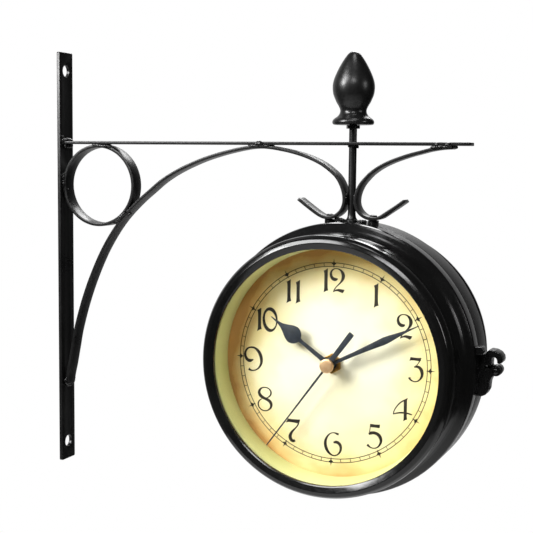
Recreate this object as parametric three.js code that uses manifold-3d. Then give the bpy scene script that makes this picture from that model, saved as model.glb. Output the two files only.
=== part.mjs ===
// Double sided station clock on a wrought scroll bracket, in millimetres.
// X runs along the arm away from the wall, Y is the depth (the front dial faces -Y), Z is up.
// x = 0 is the back of the wall plate, y = 0 the middle of the strips and of the case, z = 0 the underside of the arm.
import * as THREE from "three";
import { mergeVertices } from "three/addons/utils/BufferGeometryUtils.js";
import Module from "manifold-3d";

const wasm = await Module();
wasm.setup();

// ---------------------------------------------------------------- driving dimensions
const XC = 259.7; // common axis of rod, finial and feet
const XH = 258; // axis of the clock head
const ZC = -163.65; // height of the clock's centre
const SEAM_Y = -7; // plane where the front half leaves the rear half
const GAP = 0.3; // gap between pieces that are welded, clamped or glued together

const PLATE = { t: 3, half: 10, bottom: -273, top: 77, holeR: 5, holeTop: 61.5, holeBottom: -257.6 };
const ARM = { half: 7, t: 2.5, start: 3.3, end: 352 };
const STRIP = { t: 2.5, half: 6.5 };
const RING = { x: 37.6, z: -34.55, outer: 34.1, inner: 31.5 };
const ROD = { r: 3, bottom: -57.9, top: 44 };
const FOOT = { dx: 17.6, screwR: 1.5 };
const CASE = { r: 105.3, wall: 1.2, band: -18.3 };
const SIDES = 48; // facets round the case
const HINGE = { x: XH - 109, y: SEAM_Y, pinR: 1.2, boreR: 1.27, barrelR: 2.5, half: 20, mid: 6.2 };
const LATCH = { x: 375.2, z: -165, pinR: 1.2, boreR: 1.27 };

// heights above the middle of the case, towards the viewer of each dial
const W = {
  crest: 61.5,
  glassFront: 56.5,
  glassBack: 54.5,
  dialFront: 34.6,
  dialBack: 33.6,
  shelfFront: 33.3,
  shelfBack: 32.1,
  nutFront: 37.2,
  nutBack: 34.9,
  bushTop: 39.6,
  hour: 41.6,
  minute: 43.8,
  second: 45.9,
  capFront: 49.5,
};
const TIME = { hour: 305.3, minute: 63.6, second: 216.5 }; // degrees clockwise from twelve

const GEAR = { module: 0.5, hourModule: 0.48, minutePinion: 12, motionWheel: 36, motionPinion: 10, hourWheel: 40, knobPinion: 12, secondWheel: 24 };
const MOTION = [6, 10.3923];
const KNOB = [18, 10.3923];

// ---------------------------------------------------------------- solids
// A three.js geometry as a closed solid, facing out whichever way its profile ran.
function solid(geometry) {
  const bare = new THREE.BufferGeometry().setAttribute("position", geometry.getAttribute("position").clone());
  if (geometry.index) bare.setIndex(geometry.index.clone());
  const merged = mergeVertices(bare, 1e-4);
  const tri = [];
  const index = merged.index.array;
  for (let i = 0; i < index.length; i += 3) {
    const [a, b, c] = [index[i], index[i + 1], index[i + 2]];
    if (a !== b && b !== c && c !== a) tri.push(a, b, c);
  }
  const build = (t) =>
    new wasm.Manifold(new wasm.Mesh({ numProp: 3, vertProperties: new Float32Array(merged.attributes.position.array), triVerts: new Uint32Array(t) }));
  let made = build(tri);
  if (made.volume() < 0) {
    for (let i = 0; i < tri.length; i += 3) [tri[i + 1], tri[i + 2]] = [tri[i + 2], tri[i + 1]];
    made = build(tri);
  }
  return made;
}
function geometryOf(made) {
  const mesh = made.getMesh();
  const g = new THREE.BufferGeometry();
  g.setAttribute("position", new THREE.BufferAttribute(new Float32Array(mesh.vertProperties), mesh.numProp));
  g.setIndex(new THREE.BufferAttribute(new Uint32Array(mesh.triVerts), 1));
  const flat = g.toNonIndexed();
  flat.computeVertexNormals();
  return flat;
}
const vec = (pairs) => pairs.map(([a, b]) => new THREE.Vector2(a, b));

// A turned solid about +Z; the profile is [radius, height] and either starts and ends on the axis or closes on itself.
function turned(profile, sides = 32) {
  const p = profile.slice();
  const onAxis = p[0][0] === 0 && p[p.length - 1][0] === 0;
  if (!onAxis) p.push(p[0]);
  const g = new THREE.LatheGeometry(vec(p), sides);
  g.rotateX(Math.PI / 2);
  return solid(g);
}
const rodZ = (r, z0, z1, sides = 24) => turned([[0, z0], [r, z0], [r, z1], [0, z1]], sides);
const tubeZ = (r0, r1, z0, z1, sides = 24) => turned([[r0, z0], [r1, z0], [r1, z1], [r0, z1]], sides);
// An outline in the XY plane raised from z0 to z1.
function raised(points, z0, z1, holes = []) {
  const s = new THREE.Shape(vec(points));
  for (const h of holes) s.holes.push(new THREE.Path(vec(h)));
  const g = new THREE.ExtrudeGeometry(s, { depth: z1 - z0, bevelEnabled: false, steps: 1 });
  g.translate(0, 0, z0);
  return solid(g);
}
const circle = (r, n = 24, cx = 0, cy = 0, start = 0) =>
  Array.from({ length: n }, (_, i) => {
    const a = start + (i / n) * 2 * Math.PI;
    return [cx + r * Math.cos(a), cy + r * Math.sin(a)];
  });
const block = (x0, x1, y0, y1, z0, z1) => {
  const g = new THREE.BoxGeometry(x1 - x0, y1 - y0, z1 - z0);
  g.translate((x0 + x1) / 2, (y0 + y1) / 2, (z0 + z1) / 2);
  return solid(g);
};
function placed(made, columns, at = [0, 0, 0]) {
  const [a, b, c] = columns;
  // manifold takes a column-major 4 x 4 matrix
  return made.transform([a[0], a[1], a[2], 0, b[0], b[1], b[2], 0, c[0], c[1], c[2], 0, at[0], at[1], at[2], 1]);
}
// Outline in (x, z) raised along Y from y0 to y1.
function side(points, y0, y1, holes = []) {
  const made = raised(points.map(([x, z]) => [x, z]), -y1, -y0, holes);
  return placed(made, [[1, 0, 0], [0, 0, 1], [0, -1, 0]]);
}
const alongY = (made, x, z) => placed(made, [[1, 0, 0], [0, 0, 1], [0, -1, 0]], [x, 0, z]); // local +z points to -Y
const cylY = (r, x, z, y0, y1, sides = 24) => alongY(rodZ(r, -y1, -y0, sides), x, z);
const cylX = (r, y, z, x0, x1, sides = 24) => placed(rodZ(r, x0, x1, sides), [[0, 1, 0], [0, 0, 1], [1, 0, 0]], [0, y, z]);
const cylZ = (r, x, y, z0, z1, sides = 24) => rodZ(r, z0, z1, sides).translate([x, y, 0]);

// ---------------------------------------------------------------- the group
const group = new THREE.Group();
const LOOK = {
  black: [0x17181a, 0.32, 0.1],
  weld: [0x17181a, 0.4, 0.1],
  brass: [0xc79a55, 0.3, 0.9],
  steel: [0x9a9da1, 0.35, 0.9],
  slate: [0x33383f, 0.45, 0.1],
  cream: [0xf3ecc4, 0.7, 0],
  wall: [0xc9cf7c, 0.6, 0],
  glass: [0xffffff, 0.05, 0],
  plastic: [0x1c1c1e, 0.5, 0],
  white: [0xe8e6de, 0.5, 0],
  cell: [0x4a6a58, 0.4, 0.2],
  copper: [0xb0632f, 0.4, 0.6],
};
function add(name, made, look) {
  const [color, roughness, metalness] = LOOK[look];
  const material = new THREE.MeshStandardMaterial({ color, roughness, metalness });
  if (look === "glass") {
    material.transparent = true;
    material.opacity = 0.35;
  }
  const mesh = new THREE.Mesh(geometryOf(made), material);
  mesh.name = name;
  group.add(mesh);
}

// ---------------------------------------------------------------- strips
// Catmull-Rom points through a centreline, then an outline of even thickness round them.
function smooth(points, per) {
  const curve = new THREE.CatmullRomCurve3(points.map(([x, z]) => new THREE.Vector3(x, 0, z)), false, "centripetal");
  const n = Math.round(curve.getLength() / per);
  return curve.getSpacedPoints(n).map((p) => [p.x, p.z]);
}
function outline(centre, half) {
  const left = [];
  const right = [];
  for (let i = 0; i < centre.length; i++) {
    const a = centre[Math.max(0, i - 1)];
    const b = centre[Math.min(centre.length - 1, i + 1)];
    const d = Math.hypot(b[0] - a[0], b[1] - a[1]);
    const n = [-(b[1] - a[1]) / d, (b[0] - a[0]) / d];
    left.push([centre[i][0] + half * n[0], centre[i][1] + half * n[1]]);
    right.push([centre[i][0] - half * n[0], centre[i][1] - half * n[1]]);
  }
  return left.concat(right.reverse());
}
const BRACE = [
  [4.75, -206.5], [6.2, -198.5], [8.0, -189.5], [11.1, -173.5], [14.2, -158.5], [21.8, -133.0], [31.5, -108.5], [43.6, -84.8], [58.6, -63.6],
  [74.0, -48.2], [87.0, -37.6], [96.3, -30.3], [105.5, -24.6], [114.6, -19.9], [123.7, -15.9], [132.7, -12.4], [141.6, -9.5], [150.4, -7.0],
  [159.2, -4.9], [167.9, -3.3], [176.5, -2.2], [185.1, -1.95], [193.6, -2.3], [202.1, -3.4], [212.0, -5.4], [224.0, -8.9], [235.5, -13.9],
  [243.4, -19.2], [248.9, -24.2], [252.5, -30.0], [254.3, -35.2], [255.05, -40.6], [254.6, -45.4], [252.6, -50.0], [248.8, -53.6], [244.2, -55.4],
  [239.6, -55.5], [235.2, -53.9], [230.2, -50.8], [224.2, -46.6], [217.4, -41.6],
];
const OUTER = [
  [338.5, -1.6], [331.0, -1.9], [322.0, -3.1], [314.5, -4.9], [306.8, -6.9], [299.2, -9.3], [291.4, -12.2], [283.7, -15.9], [276.3, -20.9],
  [271.6, -25.5], [268.0, -30.0], [265.6, -35.0], [264.4, -40.2], [264.5, -45.0], [266.3, -49.6], [269.8, -53.2], [274.2, -55.2],
  [279.0, -55.6], [283.8, -54.4], [288.2, -51.6], [292.4, -48.8], [296.6, -46.0], [303.0, -41.4],
];

// ---------------------------------------------------------------- bracket
{
  const p = PLATE;
  const corner = (y, z, sy, sz) => [[y - sy * 1.2, z], [y - sy * 0.35, z - sz * 0.35], [y, z - sz * 1.2]];
  const outlineYZ = [
    ...corner(p.half, p.top, 1, 1),
    ...corner(p.half, p.bottom, 1, -1).reverse(),
    ...corner(-p.half, p.bottom, -1, -1),
    ...corner(-p.half, p.top, -1, 1).reverse(),
  ];
  const made = raised(outlineYZ, 0, p.t, [circle(p.holeR, 20, 0, p.holeTop), circle(p.holeR, 20, 0, p.holeBottom)]);
  add("wall_plate", placed(made, [[0, 1, 0], [0, 0, 1], [1, 0, 0]]), "black");
}
add("arm_bar", block(ARM.start, ARM.end, -ARM.half, ARM.half, 0, ARM.t).subtract(cylZ(ROD.r + 0.1, XC, 0, -2, 5, 32)), "black");
{
  let made = side(outline(smooth(BRACE, 7.5), STRIP.t / 2), -STRIP.half, STRIP.half);
  made = made.subtract(block(-5, PLATE.t + GAP, -20, 20, -230, 0));
  made = made.subtract(block(0, 400, -20, 20, -GAP, 10));
  made = made.subtract(cylY(RING.outer + GAP, RING.x, RING.z, -20, 20, 60));
  made = made.subtract(cylZ(FOOT.screwR + 0.35, XC - FOOT.dx, 0, -60, -50, 16));
  add("brace_scroll", made, "black");
}
{
  let made = side(outline(smooth(OUTER, 5), STRIP.t / 2), -STRIP.half, STRIP.half);
  made = made.subtract(block(0, 400, -20, 20, -GAP, 10));
  made = made.subtract(cylZ(FOOT.screwR + 0.35, XC + FOOT.dx, 0, -60, -50, 16));
  add("outer_scroll", made, "black");
}
add("scroll_ring", alongY(tubeZ(RING.inner, RING.outer, -STRIP.half, STRIP.half, 44), RING.x, RING.z), "black");
add(
  "hanger_rod",
  turned([[0, ROD.bottom], [4.7, ROD.bottom], [4.4, -56.9], [3.5, -55.2], [3.05, -53], [ROD.r, -51], [ROD.r, ROD.top], [0, ROD.top]], 24).translate([XC, 0, 0]),
  "black",
);
const FINIAL = [
  [0, 45], [3.3, 45], [3.3, 15.6], [15.4, 15.6], [16.05, 17.5], [15.4, 19.6], [12.0, 22.0], [10.1, 25.8],
  [11.0, 29.4], [13.4, 33.2], [15.4, 38.4], [16.12, 44.2], [15.2, 50.2], [13.4, 54.5], [11.2, 59],
  [6.9, 66.3], [3.8, 69.8], [0, 71.4],
];
add("finial", turned(FINIAL, 20).translate([XC, 0, 0]), "black");
add("finial_nut", raised(circle(5.5, 6), 12.7, 15.2, [circle(3.35, 24)]).translate([XC, 0, 0]), "black");

for (const [name, s] of [["left", -1], ["right", 1]]) {
  const x = XC + s * FOOT.dx;
  // domed head on the foot, shank down into the case
  add(`foot_screw_${name}`, turned([[0, -64.2], [FOOT.screwR, -64.2], [FOOT.screwR, -53.5], [2.9, -53.5], [2.8, -52.8], [2.2, -52.1], [1.2, -51.75], [0, -51.65]], 18).translate([x, 0, 0]), "black");
  const nut = raised(circle(5.2, 6, 0, 0, Math.PI / 6), -63, -57.25, [circle(FOOT.screwR + 0.3, 16)]).translate([x, 0, 0]);
  add(`foot_nut_${name}`, nut.subtract(alongY(rodZ(CASE.r + GAP, -30, 30, 120), XH, ZC)), "black");
}

// ---------------------------------------------------------------- hinge on the left of the case
{
  const h = HINGE;
  const skin = alongY(tubeZ(CASE.r + GAP, CASE.r + 1.5, -40, 40, 96), XH, ZC);
  const core = alongY(rodZ(CASE.r + GAP, -60, 60, 160), XH, ZC);
  const z = (a) => ZC + a;
  const bore = cylZ(h.boreR, h.x, h.y, z(-30), z(30), 24);
  // fixed leaf: plate on the rear half, one knuckle in the middle
  let fixed = skin.intersect(block(h.x - 5, h.x + 12, SEAM_Y + 0.5, 7.5, z(-h.half), z(h.half)));
  for (const s of [-1, 1]) fixed = fixed.subtract(block(h.x - 6, h.x + 12, SEAM_Y, SEAM_Y + 3.4, z(s > 0 ? h.mid - 0.2 : -h.half - 1), z(s > 0 ? h.half + 1 : -h.mid + 0.2)));
  fixed = fixed.add(block(h.x, h.x + 7, SEAM_Y + 0.5, SEAM_Y + 2.3, z(-h.mid), z(h.mid)).subtract(core));
  fixed = fixed.add(cylZ(h.barrelR, h.x, h.y, z(-h.mid), z(h.mid), 24)).subtract(bore);
  add("hinge_leaf_fixed", fixed, "black");
  // door leaf: plate on the front half, a knuckle at each end
  let door = skin.intersect(block(h.x - 5, h.x + 12, -17.8, SEAM_Y - 0.5, z(-h.half), z(h.half)));
  door = door.subtract(block(h.x - 6, h.x + 12, SEAM_Y - 3.4, SEAM_Y, z(-h.mid - 0.3), z(h.mid + 0.3)));
  for (const s of [-1, 1]) {
    const [a, b] = s > 0 ? [h.mid + 0.3, h.half] : [-h.half, -h.mid - 0.3];
    door = door.add(block(h.x, h.x + 7, SEAM_Y - 2.3, SEAM_Y - 0.5, z(a), z(b)).subtract(core));
    door = door.add(cylZ(h.barrelR, h.x, h.y, z(a), z(b), 24));
  }
  add("hinge_leaf_door", door.subtract(bore), "black");
  add(
    "hinge_pin",
    turned([[0, -h.half - 1.6], [1.9, -h.half - 1.6], [2.1, -h.half - 1.2], [2.1, -h.half - 0.3], [h.pinR, -h.half - 0.3], [h.pinR, h.half + 0.3], [2.1, h.half + 0.3], [2.1, h.half + 1.2], [1.9, h.half + 1.6], [0, h.half + 1.6]], 24).translate([h.x, h.y, ZC]),
    "steel",
  );
}

// ---------------------------------------------------------------- latch on the right of the case
{
  const l = LATCH;
  const core = alongY(rodZ(CASE.r + GAP, -60, 60, 200), XH, ZC);
  // catch plate on the front half
  add("latch_keeper", side([[360.5, -151.6], [367.3, -151.6], [367.8, -150.9], [367.8, -147.4], [366.6, -146.3], [360.5, -146.3]], -17.9, -7.5).subtract(core), "black");
  // tongue-shaped foot on the rear half with two ears round the pin
  let base = side(
    [
      [360, -187], [364.4, -187], [366.2, -186.2], [367.6, -183], [369.6, -176], [371.4, -171.6], [373.4, -169.2],
      ...Array.from({ length: 9 }, (_, i) => {
        const a = (-110 + i * 22.5) * (Math.PI / 180);
        return [l.x + 3.9 * Math.cos(a), l.z + 3.9 * Math.sin(a)];
      }),
      [372.6, -162.4], [369.4, -163.2], [366.6, -164.0], [360, -164.0],
    ],
    -6.2,
    6.4,
  ).subtract(core);
  base = base.subtract(cylY(4.75, l.x, l.z, -3.3, 3.3, 40)).subtract(block(366.2, 385, -3.3, 3.3, -166.2, -158));
  base = base.subtract(block(370, 385, -3.3, 3.3, -169.5, -158));
  add("latch_base", base.subtract(cylY(l.boreR, l.x, l.z, -9, 9, 24)), "black");
  // hooked lever: rolled eye, strap, finger hook curling outwards
  const lever = side(
    [
      [368.2, -160.2], [368.2, -152.4], [369.0, -150.2], [371.0, -148.9], [375.0, -149.2], [378.4, -150.8], [380.6, -153.5], [380.9, -156.2],
      [380.2, -158.3], [378.4, -158.9], [376.9, -158.3], [376.8, -156.4], [376.0, -154.6], [374.6, -153.9], [373.2, -154.7], [372.4, -156.6], [372.2, -160.2],
    ],
    -12,
    2.9,
  );
  const lower = side([[368.2, -160.0], [368.2, -162.0], [369.0, -164.0], [370.8, -165.6], [374, -166], [374, -163], [372.2, -161.6], [372.2, -160.0]], -2.9, 2.9);
  let hook = lever.add(lower).add(side([[368.2, -161], [372.2, -161], [372.2, -159.5], [368.2, -159.5]], -2.9, 2.9)).add(cylY(4.1, l.x, l.z, -2.9, 2.9, 32));
  add("latch_hook", hook.subtract(cylY(l.boreR, l.x, l.z, -9, 9, 24)), "black");
  add("latch_pin", alongY(turned([[0, -7.2], [l.pinR, -7.2], [l.pinR, 6.5], [2.3, 6.5], [2.2, 7.3], [1.4, 7.8], [0, 7.9]], 24), l.x, l.z), "steel");
}

// ---------------------------------------------------------------- clock head, drawn once as seen from the front
// Local frame: x right, y up, z towards the viewer, origin at the case's centre.
const SHELL_OUT = [
  [96.2, 46.7], [95.1, 43], [95.1, 37.5], [96.2, 30.6], [98.0, 26.6], [100, 24.2], [103.4, 21.1], [104.9, 19.5], [105.3, 18.3],
];
function shell(seam) {
  return turned(
    [
      ...SHELL_OUT, [105.3, seam], [104.1, seam], [104.1, 18.1], [98.9, 23.2], [94.7, W.shelfBack],
      [80, W.shelfBack], [80, W.shelfFront], [94.1, W.shelfFront], [93.8, 42], [94.8, 46.7],
    ],
    SIDES,
  );
}
const BEZEL = [
  [96.2, 47.0], [97.9, 50.0], [98.3, 52.8], [97.8, 55.8], [95.8, 59.5], [92.3, 61.5], [87.7, 59.5], [87.7, 56.8],
  [90.55, 56.8], [90.55, 50.0], [94.4, 47.0],
];

// A plain toothed wheel: one point at each tooth's tip and one at each gap's root.
function toothed(n, module, phase) {
  const pitch = (n * module) / 2;
  const tip = pitch + 0.76 * module;
  const root = pitch - 1.15 * module;
  const step = (2 * Math.PI) / n;
  const points = [];
  for (let i = 0; i < n; i++) {
    const a = phase + i * step;
    points.push([tip * Math.cos(a), tip * Math.sin(a)], [root * Math.cos(a + step / 2), root * Math.sin(a + step / 2)]);
  }
  return points;
}
const meshPhase = (za, thetaA, zb, delta) => delta + Math.PI - (Math.PI - za * (delta - thetaA)) / zb;
const PHASE = {};
PHASE.minute = 0;
PHASE.motion = meshPhase(GEAR.minutePinion, PHASE.minute, GEAR.motionWheel, Math.PI / 3);
PHASE.pinion = 0;
PHASE.hour = meshPhase(GEAR.motionPinion, PHASE.pinion, GEAR.hourWheel, (4 * Math.PI) / 3);
PHASE.knob = meshPhase(GEAR.motionWheel, PHASE.motion, GEAR.knobPinion, 0);

// A hand's outline from half widths along its length, on both sides of the middle line.
const handOutline = (stations) => stations.map(([r, h]) => [h, r]).concat(stations.slice().reverse().filter(([, h]) => h > 0.01).map(([r, h]) => [-h, r]));
const spun = (made, degrees) => made.rotate([0, 0, -degrees]);

const HOUR_HAND = [
  [-4.6, 2.2], [-3.3, 4.2], [0, 5.2], [3.4, 4.0], [4.6, 2.3], [8, 1.85], [18, 1.6], [27.5, 1.5], [29.6, 2.7], [31.2, 4.7], [33.4, 6.3], [35.8, 7.0],
  [38.4, 6.6], [41.2, 5.2], [44, 3.5], [46.8, 2.1], [50, 1.15], [54, 0.6], [58, 0.25],
];
const MINUTE_HAND = [[-4.2, 1.9], [-3, 3.6], [0, 4.6], [3, 3.6], [4.2, 1.8], [10, 1.35], [24, 1.5], [40, 2.35], [48, 2.75], [54, 2.2], [62, 1.3], [70, 0.65], [77, 0.25]];
const SECOND_HAND = [[-31.6, 2.15], [-6, 1.9], [-4.4, 2.6], [-2.6, 3.6], [0, 4.1], [2.6, 3.2], [4.6, 0.95], [20, 0.8], [50, 0.55], [82, 0.2]];

function clockSide(prefix, place, seam) {
  const put = (name, made, look) => add(`${prefix}_${name}`, place(made), look);
  const g = GEAR;
  const m = g.module;

  let case_ = shell(seam);
  if (prefix === "rear")
    for (const s of [-1, 1]) {
      // screw holes of the two feet, in the local frame of the rear half
      case_ = case_.subtract(placed(rodZ(FOOT.screwR + 0.35, 90, 112, 16), [[1, 0, 0], [0, 0, -1], [0, 1, 0]], [s * FOOT.dx + XH - XC, 0, 0]));
    }
  put("case_shell", case_, "black");
  put("bezel_ring", turned(BEZEL, SIDES), "black");
  put("glass_lens", rodZ(89.9, W.glassBack, W.glassFront, SIDES), "glass");
  put("spacer_ring", turned([[86.6, W.dialFront + 0.3], [88.2, 54.2], [89.4, 54.2], [87.8, W.dialFront + 0.3]], SIDES), "wall");
  put("dial", raised(circle(88, SIDES), W.dialBack, W.dialFront, [circle(4.5, 16)]), "cream");

  // movement housing: open tub with a cell bay, a threaded bush through the dial
  let tub = block(-28, 28, -28, 28, 17.4, 33.3).subtract(block(-26.8, 26.8, -10.5, 26.8, 10, 32.3)).subtract(block(-26.8, 26.8, -26.9, -11.3, 10, 32.3));
  tub = tub.add(rodZ(4.0, 32.6, W.bushTop, 16)).subtract(rodZ(2.62, 30, 45, 16));
  put("movement_housing", tub, "plastic");
  put("movement_cover", block(-27.9, 27.9, -10.9, 27.9, 16.1, 17.1).subtract(rodZ(1.45, 10, 20, 16).translate([KNOB[0], KNOB[1], 0])), "plastic");
  put("hex_nut", raised(circle(7.8, 6, 0, 0, Math.PI / 6), W.nutBack, W.nutFront, [circle(4.3, 16)]), "brass");

  // hands
  put("hour_hand", spun(raised(handOutline(HOUR_HAND), W.hour, W.hour + 0.5, [circle(2.57, 16)]), TIME.hour), "slate");
  put("minute_hand", spun(raised(handOutline(MINUTE_HAND), W.minute, W.minute + 0.5, [circle(1.57, 16)]), TIME.minute), "slate");
  put("second_hand", spun(raised(handOutline(SECOND_HAND), W.second, W.second + 0.4, [circle(0.6, 12)]), TIME.second), "slate");
  put("hand_cap", turned([[0, 46.6], [4.9, 46.6], [5.3, 47.0], [5.3, 48.9], [4.8, 49.4], [0, 49.5]], 20), "brass");

  // motion work: minute pinion and pipe, motion wheel with its pinion, hour wheel with its pipe, set knob
  const a = [MOTION[0], MOTION[1], 0];
  put("minute_wheel", raised(toothed(g.minutePinion, m, PHASE.minute), 25.2, 27.3).add(rodZ(1.5, 24.2, 45.2, 16)).subtract(rodZ(0.6, 20, 50, 12)), "brass");
  put(
    "motion_wheel",
    raised(toothed(g.motionWheel, m, PHASE.motion), 25.4, 26.8).add(raised(toothed(g.motionPinion, g.hourModule, PHASE.pinion), 26.6, 29.9)).add(rodZ(0.7, 18.0, 31.9, 10)).translate(a),
    "white",
  );
  put("hour_wheel", raised(toothed(g.hourWheel, g.hourModule, PHASE.hour), 28.0, 29.4).add(rodZ(2.5, 27.6, 42.9, 16)).subtract(rodZ(1.59, 20, 50, 16)), "white");
  put("second_wheel", raised(toothed(g.secondWheel, m, 0), 21.6, 22.8).add(rodZ(0.5, 18.6, 46.5, 12)), "white");
  put(
    "set_knob",
    raised(toothed(g.knobPinion, m, PHASE.knob), 25.2, 27.0)
      .add(rodZ(1.35, 15.2, 29, 12))
      .add(turned([[0, 9.6], [4.6, 9.6], [5.2, 10.2], [5.2, 14.6], [4.8, 15.4], [0, 15.4]], 16))
      .translate([KNOB[0], KNOB[1], 0]),
    "white",
  );

  // cell, contact and coil
  const cell = placed(turned([[0, -25], [6.6, -25], [7.15, -24.4], [7.15, 23.0], [6.6, 23.7], [2.75, 23.7], [2.75, 25.2], [0, 25.2]], 16), [[0, 1, 0], [0, 0, 1], [1, 0, 0]], [0, -19, 24.9]);
  put("battery_cell", cell, "cell");
  put("contact_spring", block(-26.6, -26.2, -24, -14, 19, 31.5).add(placed(turned([[0, -26.3], [4, -26.3], [1.6, -25.3], [0, -25.3]], 16), [[0, 1, 0], [0, 0, 1], [1, 0, 0]], [0, -19, 24.9])), "steel");
  const coil = block(-25.6, -11.6, 13.4, 22.2, 20.2, 20.9)
    .add(placed(rodZ(3.6, 14, 22, 24), [[0, 1, 0], [0, 0, 1], [1, 0, 0]].map((v) => v), [-40.5, 17.8, 24.3]).translate([1.0, 0, 0]))
    .add(block(-25.6, -24.4, 13.6, 22.0, 20.2, 28.4))
    .add(block(-17.6, -16.4, 13.6, 22.0, 20.2, 28.4));
  put("coil_and_stator", coil, "copper");
}
// front dial looks to -Y, rear dial is the same turned half round the vertical axis
clockSide("front", (made) => placed(made, [[1, 0, 0], [0, 0, 1], [0, -1, 0]], [XH, 0, ZC]), -SEAM_Y + 0.15);
clockSide("rear", (made) => placed(made, [[-1, 0, 0], [0, 0, 1], [0, 1, 0]], [XH, 0, ZC]), SEAM_Y + 0.15);

export default group;
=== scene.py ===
import math
import random

import bmesh
import bpy
from mathutils import Matrix, Vector, noise


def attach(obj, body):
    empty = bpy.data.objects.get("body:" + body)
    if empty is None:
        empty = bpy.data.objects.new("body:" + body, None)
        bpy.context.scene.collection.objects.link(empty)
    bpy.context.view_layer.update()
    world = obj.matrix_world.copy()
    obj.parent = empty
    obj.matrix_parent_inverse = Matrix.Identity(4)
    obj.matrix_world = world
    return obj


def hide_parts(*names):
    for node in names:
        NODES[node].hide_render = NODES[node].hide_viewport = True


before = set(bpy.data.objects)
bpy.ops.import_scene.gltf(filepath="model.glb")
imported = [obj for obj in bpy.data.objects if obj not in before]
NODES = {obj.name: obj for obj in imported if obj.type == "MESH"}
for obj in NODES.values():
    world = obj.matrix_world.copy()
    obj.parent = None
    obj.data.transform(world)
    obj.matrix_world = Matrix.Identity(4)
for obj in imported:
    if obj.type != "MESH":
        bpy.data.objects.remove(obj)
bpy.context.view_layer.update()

random.seed(7)
MM = 0.001
XC, ZC = 259.7, -163.65  # common axis of rod, finial and feet; height of the clock's centre
XH = 258.0  # axis of the clock head
SEAM = -7.0
scene = bpy.context.scene


# ------------------------------------------------------------------ small geometry helpers
def catmull(points, n, closed=False):
    """n points along a centripetal Catmull-Rom curve through points of any dimension, evenly spaced by length."""
    P = [tuple(float(c) for c in p) for p in points]
    dim = len(P[0])
    if closed:
        P = [P[-1]] + P + [P[0], P[1]]
    else:
        a = tuple(2 * P[0][k] - P[1][k] for k in range(dim))
        b = tuple(2 * P[-1][k] - P[-2][k] for k in range(dim))
        P = [a] + P + [b]

    def gap(p, q):
        return max(1e-6, math.sqrt(sum((p[k] - q[k]) ** 2 for k in range(min(dim, 2))))) ** 0.5

    dense = []
    for i in range(1, len(P) - 2):
        p0, p1, p2, p3 = P[i - 1], P[i], P[i + 1], P[i + 2]
        t0 = 0.0
        t1 = t0 + gap(p0, p1)
        t2 = t1 + gap(p1, p2)
        t3 = t2 + gap(p2, p3)
        for s in range(12):
            t = t1 + (t2 - t1) * s / 12
            out = []
            for k in range(dim):
                a1 = (t1 - t) / (t1 - t0) * p0[k] + (t - t0) / (t1 - t0) * p1[k]
                a2 = (t2 - t) / (t2 - t1) * p1[k] + (t - t1) / (t2 - t1) * p2[k]
                a3 = (t3 - t) / (t3 - t2) * p2[k] + (t - t2) / (t3 - t2) * p3[k]
                b1 = (t2 - t) / (t2 - t0) * a1 + (t - t0) / (t2 - t0) * a2
                b2 = (t3 - t) / (t3 - t1) * a2 + (t - t1) / (t3 - t1) * a3
                out.append((t2 - t) / (t2 - t1) * b1 + (t - t1) / (t2 - t1) * b2)
            dense.append(tuple(out))
    if not closed:
        dense.append(P[-2])
    else:
        dense.append(dense[0])
    length = [0.0]
    for p, q in zip(dense, dense[1:]):
        length.append(length[-1] + math.sqrt(sum((p[k] - q[k]) ** 2 for k in range(min(dim, 2)))))
    total = length[-1]
    result, j = [], 0
    count = n if closed else n - 1
    for i in range(n):
        want = total * i / count
        while j < len(length) - 2 and length[j + 1] < want:
            j += 1
        f = (want - length[j]) / max(1e-9, length[j + 1] - length[j])
        f = min(1.0, max(0.0, f))
        result.append(tuple(dense[j][k] * (1 - f) + dense[j + 1][k] * f for k in range(dim)))
    return result


def fillet(points, steps=5, closed=True):
    """Rounds the corners of an outline. Each point is (a, b) or (a, b, radius)."""
    out = []
    n = len(points)
    for i, p in enumerate(points):
        r = p[2] if len(p) > 2 else 0.0
        if r <= 0 or (not closed and i in (0, n - 1)):
            out.append((p[0], p[1]))
            continue
        P = Vector((p[0], p[1]))
        A = Vector(points[i - 1][:2]) - P
        B = Vector(points[(i + 1) % n][:2]) - P
        la, lb = A.length, B.length
        A.normalize()
        B.normalize()
        ang = A.angle(B)
        if ang > math.pi - 1e-3:
            out.append((p[0], p[1]))
            continue
        d = min(r / math.tan(ang / 2), 0.48 * la, 0.48 * lb)
        r2 = d * math.tan(ang / 2)
        S, E = P + A * d, P + B * d
        C = P + (A + B).normalized() * (r2 / math.sin(ang / 2))
        a0 = math.atan2(S.y - C.y, S.x - C.x)
        a1 = math.atan2(E.y - C.y, E.x - C.x)
        while a1 - a0 > math.pi:
            a1 -= 2 * math.pi
        while a1 - a0 < -math.pi:
            a1 += 2 * math.pi
        for s in range(steps + 1):
            a = a0 + (a1 - a0) * s / steps
            out.append((C.x + r2 * math.cos(a), C.y + r2 * math.sin(a)))
    return out


def finish_mesh(name, verts, faces, material, body, replaces=(), slot=None, angle=32, matrix=None, uv=None):
    """A piece from points in millimetres, riding on a body."""
    mesh = bpy.data.meshes.new(name)
    mesh.from_pydata([tuple(v) for v in verts], [], faces)
    if matrix is not None:
        mesh.transform(matrix)
    mesh.transform(Matrix.Scale(MM, 4))
    mesh.validate()
    bm = bmesh.new()
    bm.from_mesh(mesh)
    bmesh.ops.remove_doubles(bm, verts=bm.verts, dist=2e-7)
    bmesh.ops.recalc_face_normals(bm, faces=bm.faces)
    bm.to_mesh(mesh)
    bm.free()
    mesh.shade_smooth()
    mesh.set_sharp_from_angle(angle=math.radians(angle))
    obj = bpy.data.objects.new(name, mesh)
    scene.collection.objects.link(obj)
    mesh.materials.append(material)
    return register(obj, body, replaces)


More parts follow.
